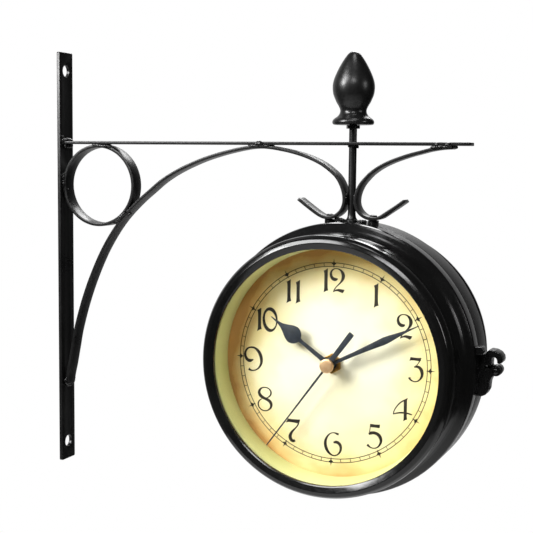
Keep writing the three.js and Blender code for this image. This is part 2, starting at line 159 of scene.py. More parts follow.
def register(obj, body, replaces=()):
    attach(obj, body)
    if replaces:
        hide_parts(*([replaces] if isinstance(replaces, str) else replaces))
    return obj


def lathe_data(profile, n, closed, start=0.0):
    """Vertices and faces of a profile of (radius, height) turned about +Z."""
    verts, faces, rows = [], [], []
    for r, h in profile:
        if r < 1e-6:
            rows.append([len(verts)])
            verts.append((0, 0, h))
        else:
            rows.append(list(range(len(verts), len(verts) + n)))
            for i in range(n):
                a = start + 2 * math.pi * i / n
                verts.append((r * math.cos(a), r * math.sin(a), h))
    pairs = list(zip(rows, rows[1:]))
    if closed:
        pairs.append((rows[-1], rows[0]))
    for a, b in pairs:
        for i in range(n):
            j = (i + 1) % n
            if len(a) == 1 and len(b) == 1:
                continue
            if len(a) == 1:
                faces.append((a[0], b[j], b[i]))
            elif len(b) == 1:
                faces.append((a[i], a[j], b[0]))
            else:
                faces.append((a[i], a[j], b[j], b[i]))
    return verts, faces


def join(parts):
    verts, faces = [], []
    for v, f in parts:
        k = len(verts)
        verts += list(v)
        faces += [tuple(i + k for i in face) for face in f]
    return verts, faces


def moved(part, matrix):
    v, f = part
    return [tuple(matrix @ Vector(p)) for p in v], f


def section_rect(half_t, half_w, r, steps=3):
    """Rounded rectangle, (across thickness, across width)."""
    pts = []
    for cx, cy, a0 in ((half_t - r, half_w - r, 0), (-half_t + r, half_w - r, 90), (-half_t + r, -half_w + r, 180), (half_t - r, -half_w + r, 270)):
        for s in range(steps + 1):
            a = math.radians(a0 + 90 * s / steps)
            pts.append((cx + r * math.cos(a), cy + r * math.sin(a)))
    return pts


def strip_data(centre, half_t=1.25, half_w=6.5, edge=0.5, y_mid=0.0, widths=None, rough=0.0, seed=0.0, end=0.5, thick=None):
    """A flat bar bent in the XZ plane along centre, with rounded edges and ends."""
    n = len(centre)
    rings = []
    for i, (x, z) in enumerate(centre):
        a, b = centre[max(0, i - 1)], centre[min(n - 1, i + 1)]
        t = Vector((b[0] - a[0], b[1] - a[1])).normalized()
        nrm = Vector((-t.y, t.x))
        hw = half_w if widths is None else widths[i]
        ht = half_t if thick is None else thick[i]
        if rough:
            hw *= 1 + rough * noise.noise((x * 0.05, z * 0.05, seed))
            ht *= 1 + 1.6 * rough * noise.noise((x * 0.07, z * 0.07, seed + 9))
        rings.append((Vector((x, z)), nrm, t, ht, hw))
    verts, faces = [], []

    def add(c, nrm, ht, hw, e):
        row = []
        for s, w in section_rect(ht, hw, min(e, ht * 0.95, hw * 0.95)):
            row.append(len(verts))
            p = c + nrm * s
            verts.append((p.x, y_mid + w, p.y))
        return row

    c, nrm, t, ht, hw = rings[0]
    rows = []
    profile = [(0.0, end), (end * 0.3, end * 0.3), (end, 0.0)]
    for along, inset in profile:
        rows.append(add(c + t * along, nrm, ht - inset * 0.8, hw - inset, edge))
    for c2, nrm2, t2, ht2, hw2 in rings[1:-1]:
        rows.append(add(c2, nrm2, ht2, hw2, edge))
    c, nrm, t, ht, hw = rings[-1]
    for along, inset in reversed(profile):
        rows.append(add(c - t * along, nrm, ht - inset * 0.8, hw - inset, edge))
    m = len(rows[0])
    for a, b in zip(rows, rows[1:]):
        for i in range(m):
            j = (i + 1) % m
            faces.append((a[i], a[j], b[j], b[i]))
    faces.append(tuple(rows[0]))
    faces.append(tuple(reversed(rows[-1])))
    return verts, faces


def ring_strip(cx, cz, r_mid, half_t, half_w, edge, n=160, rough=0.0):
    """A flat bar closed into a ring about the Y axis."""
    sec = section_rect(half_t, half_w, edge)
    verts, faces = [], []
    m = len(sec)
    for i in range(n):
        a = 2 * math.pi * i / n
        k = 1 + rough * noise.noise((math.cos(a) * 1.3, math.sin(a) * 1.3, 3.0))
        for s, w in sec:
            r = r_mid + s * k
            verts.append((cx + r * math.cos(a), w * (1 + rough * 0.4 * noise.noise((math.cos(a), math.sin(a), 7.0))), cz + r * math.sin(a)))
    for i in range(n):
        for j in range(m):
            a, b = i * m + j, i * m + (j + 1) % m
            c, d = ((i + 1) % n) * m + (j + 1) % m, ((i + 1) % n) * m + j
            faces.append((a, b, c, d))
    return verts, faces


def bead(points, radius, seed=0.0, lumps=1.3, squash=None):
    """A lumpy weld bead along 3-D points, closed at both ends."""
    P = [Vector(p) for p in points]
    dense = []
    for a, b in zip(P, P[1:]):
        k = max(2, int((b - a).length / 0.5))
        dense += [a.lerp(b, i / k) for i in range(k)]
    dense.append(P[-1])
    n, m = len(dense), 14
    verts, faces, rows = [], [], []
    for i, p in enumerate(dense):
        a, b = dense[max(0, i - 1)], dense[min(n - 1, i + 1)]
        t = (b - a).normalized()
        ref = Vector((0, 1, 0)) if abs(t.y) < 0.9 else Vector((1, 0, 0))
        u = t.cross(ref).normalized()
        v = t.cross(u).normalized()
        s = i / (n - 1)
        env = math.sqrt(max(0.0, 1 - (2 * s - 1) ** 6))
        wave = 1 + 0.10 * math.sin(i * 0.5 * lumps * 2.6 + seed)
        row = []
        if i in (0, n - 1):
            rows.append([len(verts)])
            verts.append(tuple(p))
            continue
        for j in range(m):
            ang = 2 * math.pi * j / m
            r = radius * env * wave
            d = u * math.cos(ang) + v * math.sin(ang)
            q = p + d * r
            r *= 1 + 0.28 * noise.noise((q.x * 0.55 + seed, q.y * 0.55, q.z * 0.55))
            row.append(len(verts))
            verts.append(tuple(p + d * r))
        rows.append(row)
    for a, b in zip(rows, rows[1:]):
        for j in range(m):
            k = (j + 1) % m
            if len(a) == 1:
                faces.append((a[0], b[k], b[j]))
            elif len(b) == 1:
                faces.append((a[j], a[k], b[0]))
            else:
                faces.append((a[j], a[k], b[k], b[j]))
    return verts, faces


def plate_data(outline, holes, z0, z1, bevel, resolution=2):
    """A flat plate from an outline with holes, raised along Z, its edges rounded. Returns vertices and faces in mm."""
    curve = bpy.data.curves.new("tmp_plate", "CURVE")
    curve.dimensions = "2D"
    curve.fill_mode = "BOTH"
    curve.extrude = (z1 - z0) / 2 - bevel
    curve.bevel_depth = bevel
    curve.bevel_resolution = resolution
    curve.offset = -bevel
    for loop in [outline] + list(holes):
        sp = curve.splines.new("POLY")
        sp.points.add(len(loop) - 1)
        for p, q in zip(sp.points, loop):
            p.co = (q[0], q[1], 0, 1)
        sp.use_cyclic_u = True
    obj = bpy.data.objects.new("tmp_plate", curve)
    scene.collection.objects.link(obj)
    bpy.context.view_layer.update()
    mesh = bpy.data.meshes.new_from_object(obj.evaluated_get(bpy.context.evaluated_depsgraph_get()))
    verts = [(v.co.x, v.co.y, v.co.z + (z0 + z1) / 2) for v in mesh.vertices]
    faces = [tuple(p.vertices) for p in mesh.polygons]
    bpy.data.objects.remove(obj)
    bpy.data.curves.remove(curve)
    bpy.data.meshes.remove(mesh)
    return verts, faces


def circle(r, n=48, cx=0.0, cy=0.0, start=0.0):
    return [(cx + r * math.cos(start + 2 * math.pi * i / n), cy + r * math.sin(start + 2 * math.pi * i / n)) for i in range(n)]


def refined(name, node, material, body, bevel=0.25, segments=2, angle=30, keep=True):
    """A rounded-edge piece made from a CAD node's own faces."""
    src = NODES[node].data
    mesh = src.copy()
    mesh.name = name
    bm = bmesh.new()
    bm.from_mesh(mesh)
    bmesh.ops.remove_doubles(bm, verts=bm.verts, dist=1e-6)
    bmesh.ops.dissolve_limit(bm, angle_limit=math.radians(1.0), verts=bm.verts, edges=bm.edges)
    bm.to_mesh(mesh)
    bm.free()
    mesh.materials.clear()
    mesh.materials.append(material)
    obj = bpy.data.objects.new(name, mesh)
    scene.collection.objects.link(obj)
    mod = obj.modifiers.new("edge", "BEVEL")
    mod.width = bevel * MM
    mod.segments = segments
    mod.limit_method = "ANGLE"
    mod.angle_limit = math.radians(angle)
    mod.use_clamp_overlap = True
    mod.harden_normals = False
    bpy.context.view_layer.update()
    made = bpy.data.meshes.new_from_object(obj.evaluated_get(bpy.context.evaluated_depsgraph_get()))
    obj.modifiers.clear()
    obj.data = made
    made.name = name
    made.shade_smooth()
    made.set_sharp_from_angle(angle=math.radians(28))
    return register(obj, body, node)


def cut(obj, cutters):
    """Takes simple solids, given as (verts, faces) in mm, out of a piece."""
    for part in cutters:
        mesh = bpy.data.meshes.new("tmp_cut")
        mesh.from_pydata([tuple(c * MM for c in v) for v in part[0]], [], part[1])
        bm = bmesh.new()
        bm.from_mesh(mesh)
        bmesh.ops.recalc_face_normals(bm, faces=bm.faces)
        bm.to_mesh(mesh)
        bm.free()
        tool = bpy.data.objects.new("tmp_cut", mesh)
        scene.collection.objects.link(tool)
        mod = obj.modifiers.new("cut", "BOOLEAN")
        mod.operation = "DIFFERENCE"
        mod.solver = "EXACT"
        mod.object = tool
        bpy.context.view_layer.update()
        made = bpy.data.meshes.new_from_object(obj.evaluated_get(bpy.context.evaluated_depsgraph_get()))
        obj.modifiers.clear()
        old = obj.data
        obj.data = made
        made.name = obj.name
        bpy.data.meshes.remove(old)
        bpy.data.objects.remove(tool)
        obj.data.shade_smooth()
        obj.data.set_sharp_from_angle(angle=math.radians(32))


def box_data(x0, x1, y0, y1, z0, z1):
    v = [(x, y, z) for x in (x0, x1) for y in (y0, y1) for z in (z0, z1)]
    f = [(0, 1, 3, 2), (4, 6, 7, 5), (0, 4, 5, 1), (2, 3, 7, 6), (0, 2, 6, 4), (1, 5, 7, 3)]
    return v, f


# ------------------------------------------------------------------ materials
def srgb(h):
    h = h.lstrip("#")
    out = []
    for i in (0, 2, 4):
        c = int(h[i : i + 2], 16) / 255
        out.append(c / 12.92 if c <= 0.04045 else ((c + 0.055) / 1.055) ** 2.4)
    return (*out, 1.0)


class Mat:
    def __init__(self, name):
        self.m = bpy.data.materials.new(name)
        self.m.use_nodes = True
        self.t = self.m.node_tree
        self.t.nodes.clear()
        self.out = self.t.nodes.new("ShaderNodeOutputMaterial")
        self.b = self.t.nodes.new("ShaderNodeBsdfPrincipled")
        self.t.links.new(self.b.outputs[0], self.out.inputs[0])
        self.tc = self.t.nodes.new("ShaderNodeTexCoord")

    def new(self, kind, **values):
        n = self.t.nodes.new(kind)
        for k, v in values.items():
            if k in n.inputs:
                n.inputs[k].default_value = v
            else:
                setattr(n, k, v)
        return n

    def link(self, a, b):
        self.t.links.new(a, b)

    def coords(self, scale=(1, 1, 1), rotation=(0, 0, 0)):
        mp = self.new("ShaderNodeMapping")
        mp.inputs["Scale"].default_value = scale
        mp.inputs["Rotation"].default_value = rotation
        self.link(self.tc.outputs["Object"], mp.inputs["Vector"])
        return mp.outputs[0]

    def noise(self, scale, detail=3.0, rough=0.5, vector=None, distortion=0.0):
        n = self.new("ShaderNodeTexNoise")
        n.inputs["Scale"].default_value = scale
        n.inputs["Detail"].default_value = detail
        n.inputs["Roughness"].default_value = rough
        n.inputs["Distortion"].default_value = distortion
        self.link(vector or self.tc.outputs["Object"], n.inputs["Vector"])
        return n.outputs["Fac"]

    def ramp(self, fac, stops, interpolation="LINEAR"):
        n = self.new("ShaderNodeValToRGB")
        cr = n.color_ramp
        cr.interpolation = interpolation
        while len(cr.elements) > 1:
            cr.elements.remove(cr.elements[-1])
        cr.elements[0].position = stops[0][0]
        cr.elements[0].color = stops[0][1]
        for pos, col in stops[1:]:
            e = cr.elements.new(pos)
            e.color = col
        self.link(fac, n.inputs[0])
        return n.outputs[0]

    def rng(self, value, a, b, c, d):
        n = self.new("ShaderNodeMapRange")
        n.inputs["From Min"].default_value = a
        n.inputs["From Max"].default_value = b
        n.inputs["To Min"].default_value = c
        n.inputs["To Max"].default_value = d
        self.link(value, n.inputs["Value"])
        return n.outputs[0]

    def math(self, op, a, b=None, c=None):
        n = self.new("ShaderNodeMath", operation=op)
        for i, v in enumerate((a, b, c)):
            if v is None:
                continue
            if isinstance(v, (int, float)):
                n.inputs[i].default_value = v
            else:
                self.link(v, n.inputs[i])
        return n.outputs[0]

    def mix(self, fac, a, b, blend="MIX"):
        n = self.new("ShaderNodeMix", data_type="RGBA", blend_type=blend)
        for sock, v in ((n.inputs[0], fac), (n.inputs[6], a), (n.inputs[7], b)):
            if isinstance(v, (int, float)):
                sock.default_value = v
            elif isinstance(v, tuple):
                sock.default_value = v
            else:
                self.link(v, sock)
        return n.outputs[2]

    def bump(self, layers, distance=0.0002):
        """layers is a list of (height output, strength, distance)."""
        normal = None
        for height, strength, dist in layers:
            n = self.new("ShaderNodeBump")
            n.inputs["Strength"].default_value = strength
            n.inputs["Distance"].default_value = dist
            self.link(height, n.inputs["Height"])
            if normal:
                self.link(normal, n.inputs["Normal"])
            normal = n.outputs[0]
        self.link(normal, self.b.inputs["Normal"])
        return self

    def set(self, **values):
        for k, v in values.items():
            sock = self.b.inputs[k.replace("_", " ")]
            if isinstance(v, (int, float, tuple)):
                sock.default_value = v
            else:
                self.link(v, sock)
        return self


def grey(v):
    return (v, v, v, 1.0)


def black_paint(name, low, high, r0, r1, spec=0.4, peel=0.25, streak=None, coat=0.0, coat_rough=0.1):
    """Semi-gloss black paint: slight tone change, cloudy gloss, orange peel and fine dust nibs."""
    m = Mat(name)
    big = m.noise(24, 4, 0.55)
    fine = m.noise(420, 3, 0.6)
    peeln = m.noise(950, 2, 0.5)
    nib = m.noise(2600, 2, 0.5)
    base = m.ramp(big, [(0.3, low), (0.7, high)])
    dust = m.rng(nib, 0.66, 0.78, 0.0, 0.35)
    base = m.mix(dust, base, grey(0.035))
    rough = m.math("ADD", m.rng(big, 0.3, 0.7, r0, r1), m.rng(fine, 0.35, 0.65, -0.03, 0.03))
    layers = [(m.noise(60, 3, 0.5), 0.06, 0.0006), (peeln, peel, 0.00006), (nib, peel * 0.4, 0.00003)]
    if streak:
        layers.append((m.noise(1.0, 3, 0.6, vector=m.coords(streak)), 0.12, 0.00008))
    m.bump(layers)
    m.set(Base_Color=base, Roughness=rough, Specular_IOR_Level=spec, Coat_Weight=coat, Coat_Roughness=coat_rough)
    return m.m


M_IRON = black_paint("black_iron_paint", grey(0.004), grey(0.008), 0.27, 0.38, spec=0.36, peel=0.13, streak=(160, 1500, 160))
M_FINIAL = black_paint("black_finial_paint", grey(0.004), grey(0.007), 0.25, 0.33, spec=0.40, peel=0.06)
M_CASE = black_paint("black_case_enamel", grey(0.003), grey(0.006), 0.15, 0.23, spec=0.38, peel=0.08)
M_BEZEL = black_paint("black_bezel_enamel", grey(0.003), grey(0.006), 0.11, 0.18, spec=0.42, peel=0.06)
M_FIT = black_paint("black_fitting_paint", grey(0.004), grey(0.008), 0.20, 0.30, spec=0.42, peel=0.22)
M_WELD = black_paint("black_weld_paint", grey(0.003), grey(0.007), 0.22, 0.32, spec=0.45, peel=0.30)


def metal(name, tint_a, tint_b, r0, r1, scale=(1, 1, 1), spin=None):
    m = Mat(name)
    if spin:  # turned face: fine circles about the clock's axis
        sep = m.new("ShaderNodeSeparateXYZ")
        m.link(m.tc.outputs["Object"], sep.inputs[0])
        dx = m.math("SUBTRACT", sep.outputs[0], spin[0])
        dz = m.math("SUBTRACT", sep.outputs[2], spin[1])
        r = m.math("SQRT", m.math("ADD", m.math("MULTIPLY", dx, dx), m.math("MULTIPLY", dz, dz)))
        comb = m.new("ShaderNodeCombineXYZ")
        m.link(m.math("MULTIPLY", r, 9000.0), comb.inputs[0])
        groove = m.noise(1.0, 2, 0.6, vector=comb.outputs[0])
    else:
        groove = m.noise(1.0, 3, 0.6, vector=m.coords(scale))
    cloud = m.noise(300, 3, 0.5)
    m.set(
        Base_Color=m.ramp(cloud, [(0.3, tint_a), (0.7, tint_b)]),
        Metallic=1.0,
        Roughness=m.rng(groove, 0.3, 0.7, r0, r1),
    )
    m.bump([(groove, 0.35, 0.00004), (cloud, 0.08, 0.00005)])
    return m.m


M_CAP = metal("brass_cap", srgb("#E6B98C"), srgb("#F2CDA2"), 0.42, 0.56, spin=(XH * MM, ZC * MM))
M_BRASS = metal("brass_nut", srgb("#B88A48"), srgb("#D0A560"), 0.28, 0.42, scale=(900, 3000, 900))
M_STEEL = metal("plain_steel", grey(0.36), grey(0.46), 0.25, 0.40, scale=(1500, 300, 1500))
M_DARKSTEEL = metal("darkened_steel_pin", grey(0.05), grey(0.09), 0.28, 0.42, scale=(1500, 300, 1500))


def hand_paint():
    m = Mat("hand_slate_paint")
    cloud = m.noise(260, 3, 0.55)
    fine = m.noise(3200, 2, 0.5)
    m.set(Base_Color=m.ramp(cloud, [(0.3, srgb("#22262D")), (0.7, srgb("#30363F"))]), Roughness=m.rng(fine, 0.35, 0.65, 0.42, 0.58), Specular_IOR_Level=0.45)
    m.bump([(fine, 0.22, 0.00003), (cloud, 0.12, 0.0001)])
    return m.m


M_HAND = hand_paint()


def dial_paint():
    """Cream printed dial, aged amber towards the rim, with soft stains and paper grain."""
    m = Mat("dial_paper")
    uv = m.new("ShaderNodeUVMap", uv_map="dial")
    sep = m.new("ShaderNodeSeparateXYZ")
    m.link(uv.outputs[0], sep.inputs[0])
    u = m.math("MULTIPLY", m.math("SUBTRACT", sep.outputs[0], 0.5), 2.0)
    v = m.math("MULTIPLY", m.math("SUBTRACT", sep.outputs[1], 0.5), 2.0)
    r = m.math("SQRT", m.math("ADD", m.math("MULTIPLY", u, u), m.math("MULTIPLY", v, v)))
    comb = m.new("ShaderNodeCombineXYZ")
    m.link(u, comb.inputs[0])
    m.link(v, comb.inputs[1])
    vec = comb.outputs[0]
    cloud = m.noise(2.1, 4, 0.55, vector=vec, distortion=0.4)
    patch = m.noise(4.5, 5, 0.6, vector=vec, distortion=0.6)
    # painted shade: the ramp is pushed darker and more amber towards the left and the top, where the bezel's shadow
    # falls
    painted_shadow_lean = m.math("ADD", m.math("MULTIPLY", u, -0.07), m.math("MULTIPLY", v, 0.03))
    e = m.math("ADD", m.math("ADD", r, painted_shadow_lean), m.math("MULTIPLY", m.math("SUBTRACT", cloud, 0.5), 0.34))
    col = m.ramp(
        e,
        [
            (0.0, srgb("#FEF9E6")),
            (0.46, srgb("#FBF5DC")),
            (0.68, srgb("#F6EBC2")),
            (0.82, srgb("#EFDDA4")),
            (0.92, srgb("#E4C486")),
            (0.98, srgb("#D8AA6A")),
            (1.0, srgb("#C9965A")),
        ],
        "EASE",
    )
    stain = m.rng(patch, 0.50, 0.72, 0.0, 0.30)
    edge = m.rng(r, 0.45, 0.95, 0.15, 1.0)
    col = m.mix(m.math("MULTIPLY", stain, edge), col, srgb("#E2A561"))
    warm = m.rng(m.noise(1.3, 2, 0.5, vector=vec), 0.45, 0.7, 0.0, 0.35)
    col = m.mix(warm, col, srgb("#F3E7AE"), "MULTIPLY")
    fibre = m.noise(1.0, 3, 0.6, vector=m.coords((900, 900, 2600)))
    speck = m.noise(900, 2, 0.5)
    col = m.mix(m.rng(speck, 0.66, 0.80, 0.0, 0.10), col, srgb("#A97B43"))
    m.set(Base_Color=col, Roughness=m.rng(fibre, 0.3, 0.7, 0.55, 0.70), Specular_IOR_Level=0.3)
    m.bump([(fibre, 0.08, 0.00004)])
    return m.m


M_DIAL = dial_paint()


def ink():
    m = Mat("dial_ink")
    cloud = m.noise(26, 4, 0.55)
    fine = m.noise(1300, 3, 0.6)
    col = m.ramp(cloud, [(0.34, srgb("#171411")), (0.68, srgb("#3B342A"))])
    col = m.mix(m.rng(fine, 0.58, 0.75, 0.0, 0.30), col, srgb("#7A6C4C"))
    m.set(Base_Color=col, Roughness=m.rng(fine, 0.3, 0.7, 0.5, 0.7), Specular_IOR_Level=0.3)
    m.bump([(fine, 0.1, 0.00002)])
    return m.m


M_INK = ink()


def wall_paint():
    m = Mat("inner_wall_paint")
    cloud = m.noise(22, 4, 0.5)
    fine = m.noise(1400, 3, 0.6)
    m.set(Base_Color=m.ramp(cloud, [(0.32, srgb("#D8DA98")), (0.7, srgb("#E9E8AE"))]), Roughness=m.rng(fine, 0.3, 0.7, 0.5, 0.66), Specular_IOR_Level=0.35)
    m.bump([(fine, 0.12, 0.00004), (cloud, 0.1, 0.0004)])
    return m.m


M_WALL = wall_paint()


def glass():
    """Thin clear glass: lets light through and mirrors a little at grazing angles."""
    m = Mat("clear_glass")
    m.t.nodes.remove(m.b)
    clear = m.new("ShaderNodeBsdfTransparent")
    clear.inputs["Color"].default_value = (0.985, 0.992, 0.985, 1)
    gloss = m.new("ShaderNodeBsdfGlossy")
    gloss.inputs["Color"].default_value = (1, 1, 1, 1)
    smear = m.noise(18, 4, 0.6)
    m.link(m.rng(smear, 0.4, 0.8, 0.0, 0.045), gloss.inputs["Roughness"])
    facing = m.new("ShaderNodeLayerWeight")
    facing.inputs["Blend"].default_value = 0.5
    fres = m.math("MULTIPLY_ADD", m.math("POWER", facing.outputs["Facing"], 5.0), 0.6, 0.025)
    mixs = m.new("ShaderNodeMixShader")
    m.link(fres, mixs.inputs[0])
    m.link(clear.outputs[0], mixs.inputs[1])
    m.link(gloss.outputs[0], mixs.inputs[2])
    m.link(mixs.outputs[0], m.out.inputs[0])
    return m.m


M_GLASS = glass()


def plastic(name, a, b, r0, r1, grain=1800, strength=0.2):
    m = Mat(name)
    cloud = m.noise(90, 3, 0.5)
    fine = m.noise(grain, 3, 0.6)
    m.set(Base_Color=m.ramp(cloud, [(0.3, a), (0.7, b)]), Roughness=m.rng(fine, 0.3, 0.7, r0, r1), Specular_IOR_Level=0.45)
    m.bump([(fine, strength, 0.00004)])
    return m.m


M_MOVE = plastic("movement_plastic", grey(0.014), grey(0.022), 0.42, 0.6)
M_GEAR = plastic("gear_acetal", srgb("#DEDBD0"), srgb("#EDEBE2"), 0.32, 0.46, grain=900, strength=0.1)


def cell_wrap():
    """Plain wrapped cell: a dark sleeve with a lighter band at the button end."""
    m = Mat("cell_wrap")
    sep = m.new("ShaderNodeSeparateXYZ")
    m.link(m.tc.outputs["Object"], sep.inputs[0])
    x = m.math("SUBTRACT", sep.outputs[0], XH * MM)
    band = m.ramp(m.rng(x, -0.026, 0.026, 0.0, 1.0), [(0.0, srgb("#C9C9C6")), (0.03, srgb("#244A38")), (0.72, srgb("#2B5642")), (0.735, srgb("#B8883A")), (0.95, srgb("#C79A4A")), (0.965, srgb("#BEBEBC"))], "CONSTANT")
    fine = m.noise(1500, 2, 0.5)
    m.set(Base_Color=band, Roughness=m.rng(fine, 0.3, 0.7, 0.24, 0.36), Specular_IOR_Level=0.5)
    m.bump([(fine, 0.08, 0.00003)])
    return m.m


M_CELL = cell_wrap()


def copper():
    m = Mat("coil_copper")
    sep = m.new("ShaderNodeSeparateXYZ")
    m.link(m.tc.outputs["Object"], sep.inputs[0])
    turns = m.new("ShaderNodeMath", operation="SINE")
    m.link(m.math("MULTIPLY", sep.outputs[0], 26000.0), turns.inputs[0])
    n = m.noise(400, 3, 0.5)
    m.set(Base_Color=m.ramp(n, [(0.3, srgb("#9C5528")), (0.7, srgb("#C4763C"))]), Metallic=0.8, Roughness=m.rng(n, 0.3, 0.7, 0.3, 0.42))
    m.bump([(turns.outputs[0], 0.4, 0.00005)])
    return m.m


M_COIL = copper()


# ------------------------------------------------------------------ bracket
BRACE = [
    (4.3, -207.0), (5.8, -198.5), (7.9, -189.5), (11.1, -173.5), (14.2, -158.5), (21.8, -133.0), (31.5, -108.5), (43.6, -84.8), (58.6, -63.6),
    (74.0, -48.2), (87.0, -37.6), (96.3, -30.3), (105.5, -24.6), (114.6, -19.9), (123.7, -15.9), (132.7, -12.4), (141.6, -9.5), (150.4, -7.0),
    (159.2, -4.9), (167.9, -3.1), (176.5, -1.9), (185.1, -1.6), (193.6, -2.1), (202.1, -3.4), (212.0, -5.4), (224.0, -8.9), (235.5, -13.9),
    (243.4, -19.2), (248.9, -24.2), (252.5, -30.0), (254.4, -35.2), (255.25, -40.6), (254.8, -45.4), (252.7, -50.0), (248.8, -53.6), (244.2, -55.4),
    (239.6, -55.5), (235.2, -53.9), (230.2, -50.8), (224.2, -46.6), (217.4, -41.6),
]
OUTER = [
    (338.5, -1.35), (331.0, -1.7), (322.0, -3.0), (314.5, -4.9), (306.8, -6.9), (299.2, -9.3), (291.4, -12.2), (283.7, -15.9), (276.3, -20.9),
    (271.6, -25.5), (268.0, -30.0), (265.5, -35.0), (264.2, -40.2), (264.3, -45.0), (266.2, -49.6), (269.8, -53.2), (274.2, -55.2),
    (279.0, -55.6), (283.8, -54.4), (288.2, -51.6), (292.4, -48.8), (296.6, -46.0), (303.0, -41.4),
]

# wall plate, standing along Z with its two holes
outline = fillet([(-9.99, -272.99, 1.2), (9.99, -272.99, 1.2), (9.99, 76.99, 1.2), (-9.99, 76.99, 1.2)], 4)
part = plate_data(outline, [circle(5, 56, 0, 61.5), circle(5, 56, 0, -257.6)], 0, 3, 0.35, 3)
finish_mesh("wall_plate_strip", *part, M_IRON, "root", "wall_plate", "black_iron", matrix=Matrix(((0, 0, 1, 0), (1, 0, 0, 0), (0, 1, 0, 0), (0, 0, 0, 1))))

arm = [(3.0 + (352.0 - 3.0) * i / 60, 1.25) for i in range(61)]
finish_mesh("arm_bar_strip", *strip_data(arm, 1.25, 7.0, 0.42, rough=0.012, seed=2.0, end=0.5), M_IRON, "root", "arm_bar", "black_iron")
finish_mesh("brace_scroll_strip", *strip_data(catmull(BRACE, 230), 1.25, 6.5, 0.45, rough=0.02, seed=5.0, end=0.6), M_IRON, "root", "brace_scroll", "black_iron")
finish_mesh("outer_scroll_strip", *strip_data(catmull(OUTER, 130), 1.25, 6.5, 0.45, rough=0.02, seed=8.0, end=0.6), M_IRON, "root", "outer_scroll", "black_iron")
finish_mesh("scroll_ring_strip", *ring_strip(37.5, -34.45, 32.95, 1.35, 6.5, 0.45, 180, 0.03), M_IRON, "root", "scroll_ring", "black_iron")

rod = [(0, -58.2), (5.0, -58.2), (4.9, -57.5), (4.1, -56.5), (3.45, -55.2), (3.12, -53.4), (3.0, -50.5), (3.0, 44), (0, 44)]
finish_mesh("hanger_rod_bar", *lathe_data(rod, 48, False), M_IRON, "root", "hanger_rod", "black_iron", matrix=Matrix.Translation((XC, 0, 0)))

finial = [
    (3.05, 15.6), (13.9, 15.6), (14.9, 15.75), (15.6, 16.2), (15.95, 16.9), (16.02, 17.6), (15.9, 18.4), (15.5, 19.2), (15.0, 19.8), (14.3, 20.4),
    (13.1, 21.2), (12.15, 22.0), (11.4, 22.7), (10.84, 23.5), (10.44, 24.3), (10.2, 25.0), (10.08, 25.8), (10.1, 26.6), (10.24, 27.3), (10.5, 28.1),
    (11.1, 29.4), (11.95, 30.9), (12.9, 32.4), (13.6, 33.9), (14.25, 35.4), (14.9, 36.9), (15.4, 38.3), (15.75, 39.9), (15.98, 41.5), (16.1, 43.2),
    (16.12, 44.7), (16.0, 46.3), (15.75, 47.8), (15.38, 49.3), (14.9, 50.8), (14.35, 52.3), (13.72, 53.8), (13.05, 55.3), (12.35, 56.8), (11.6, 58.3),
    (10.8, 59.8), (9.98, 61.3), (9.12, 62.8), (8.2, 64.3), (7.2, 65.8), (6.2, 67.2), (5.3, 68.4), (4.3, 69.5), (3.3, 70.3), (2.2, 70.95), (1.1, 71.3), (0, 71.38),
]
verts, faces = lathe_data([(0, 15.62)] + finial, 112, False)
finish_mesh("finial_urn", verts, faces, M_FINIAL, "root", "finial", "black_iron", angle=40, matrix=Matrix.Translation((XC, 0, 0)))
hexn = plate_data(fillet([(p[0], p[1], 0.5) for p in circle(5.5, 6)], 3), [], 12.7, 15.3, 0.35, 2)
finish_mesh("finial_nut_hex", *hexn, M_FIT, "root", "finial_nut", "black_iron", matrix=Matrix.Translation((XC, 0, 0)))

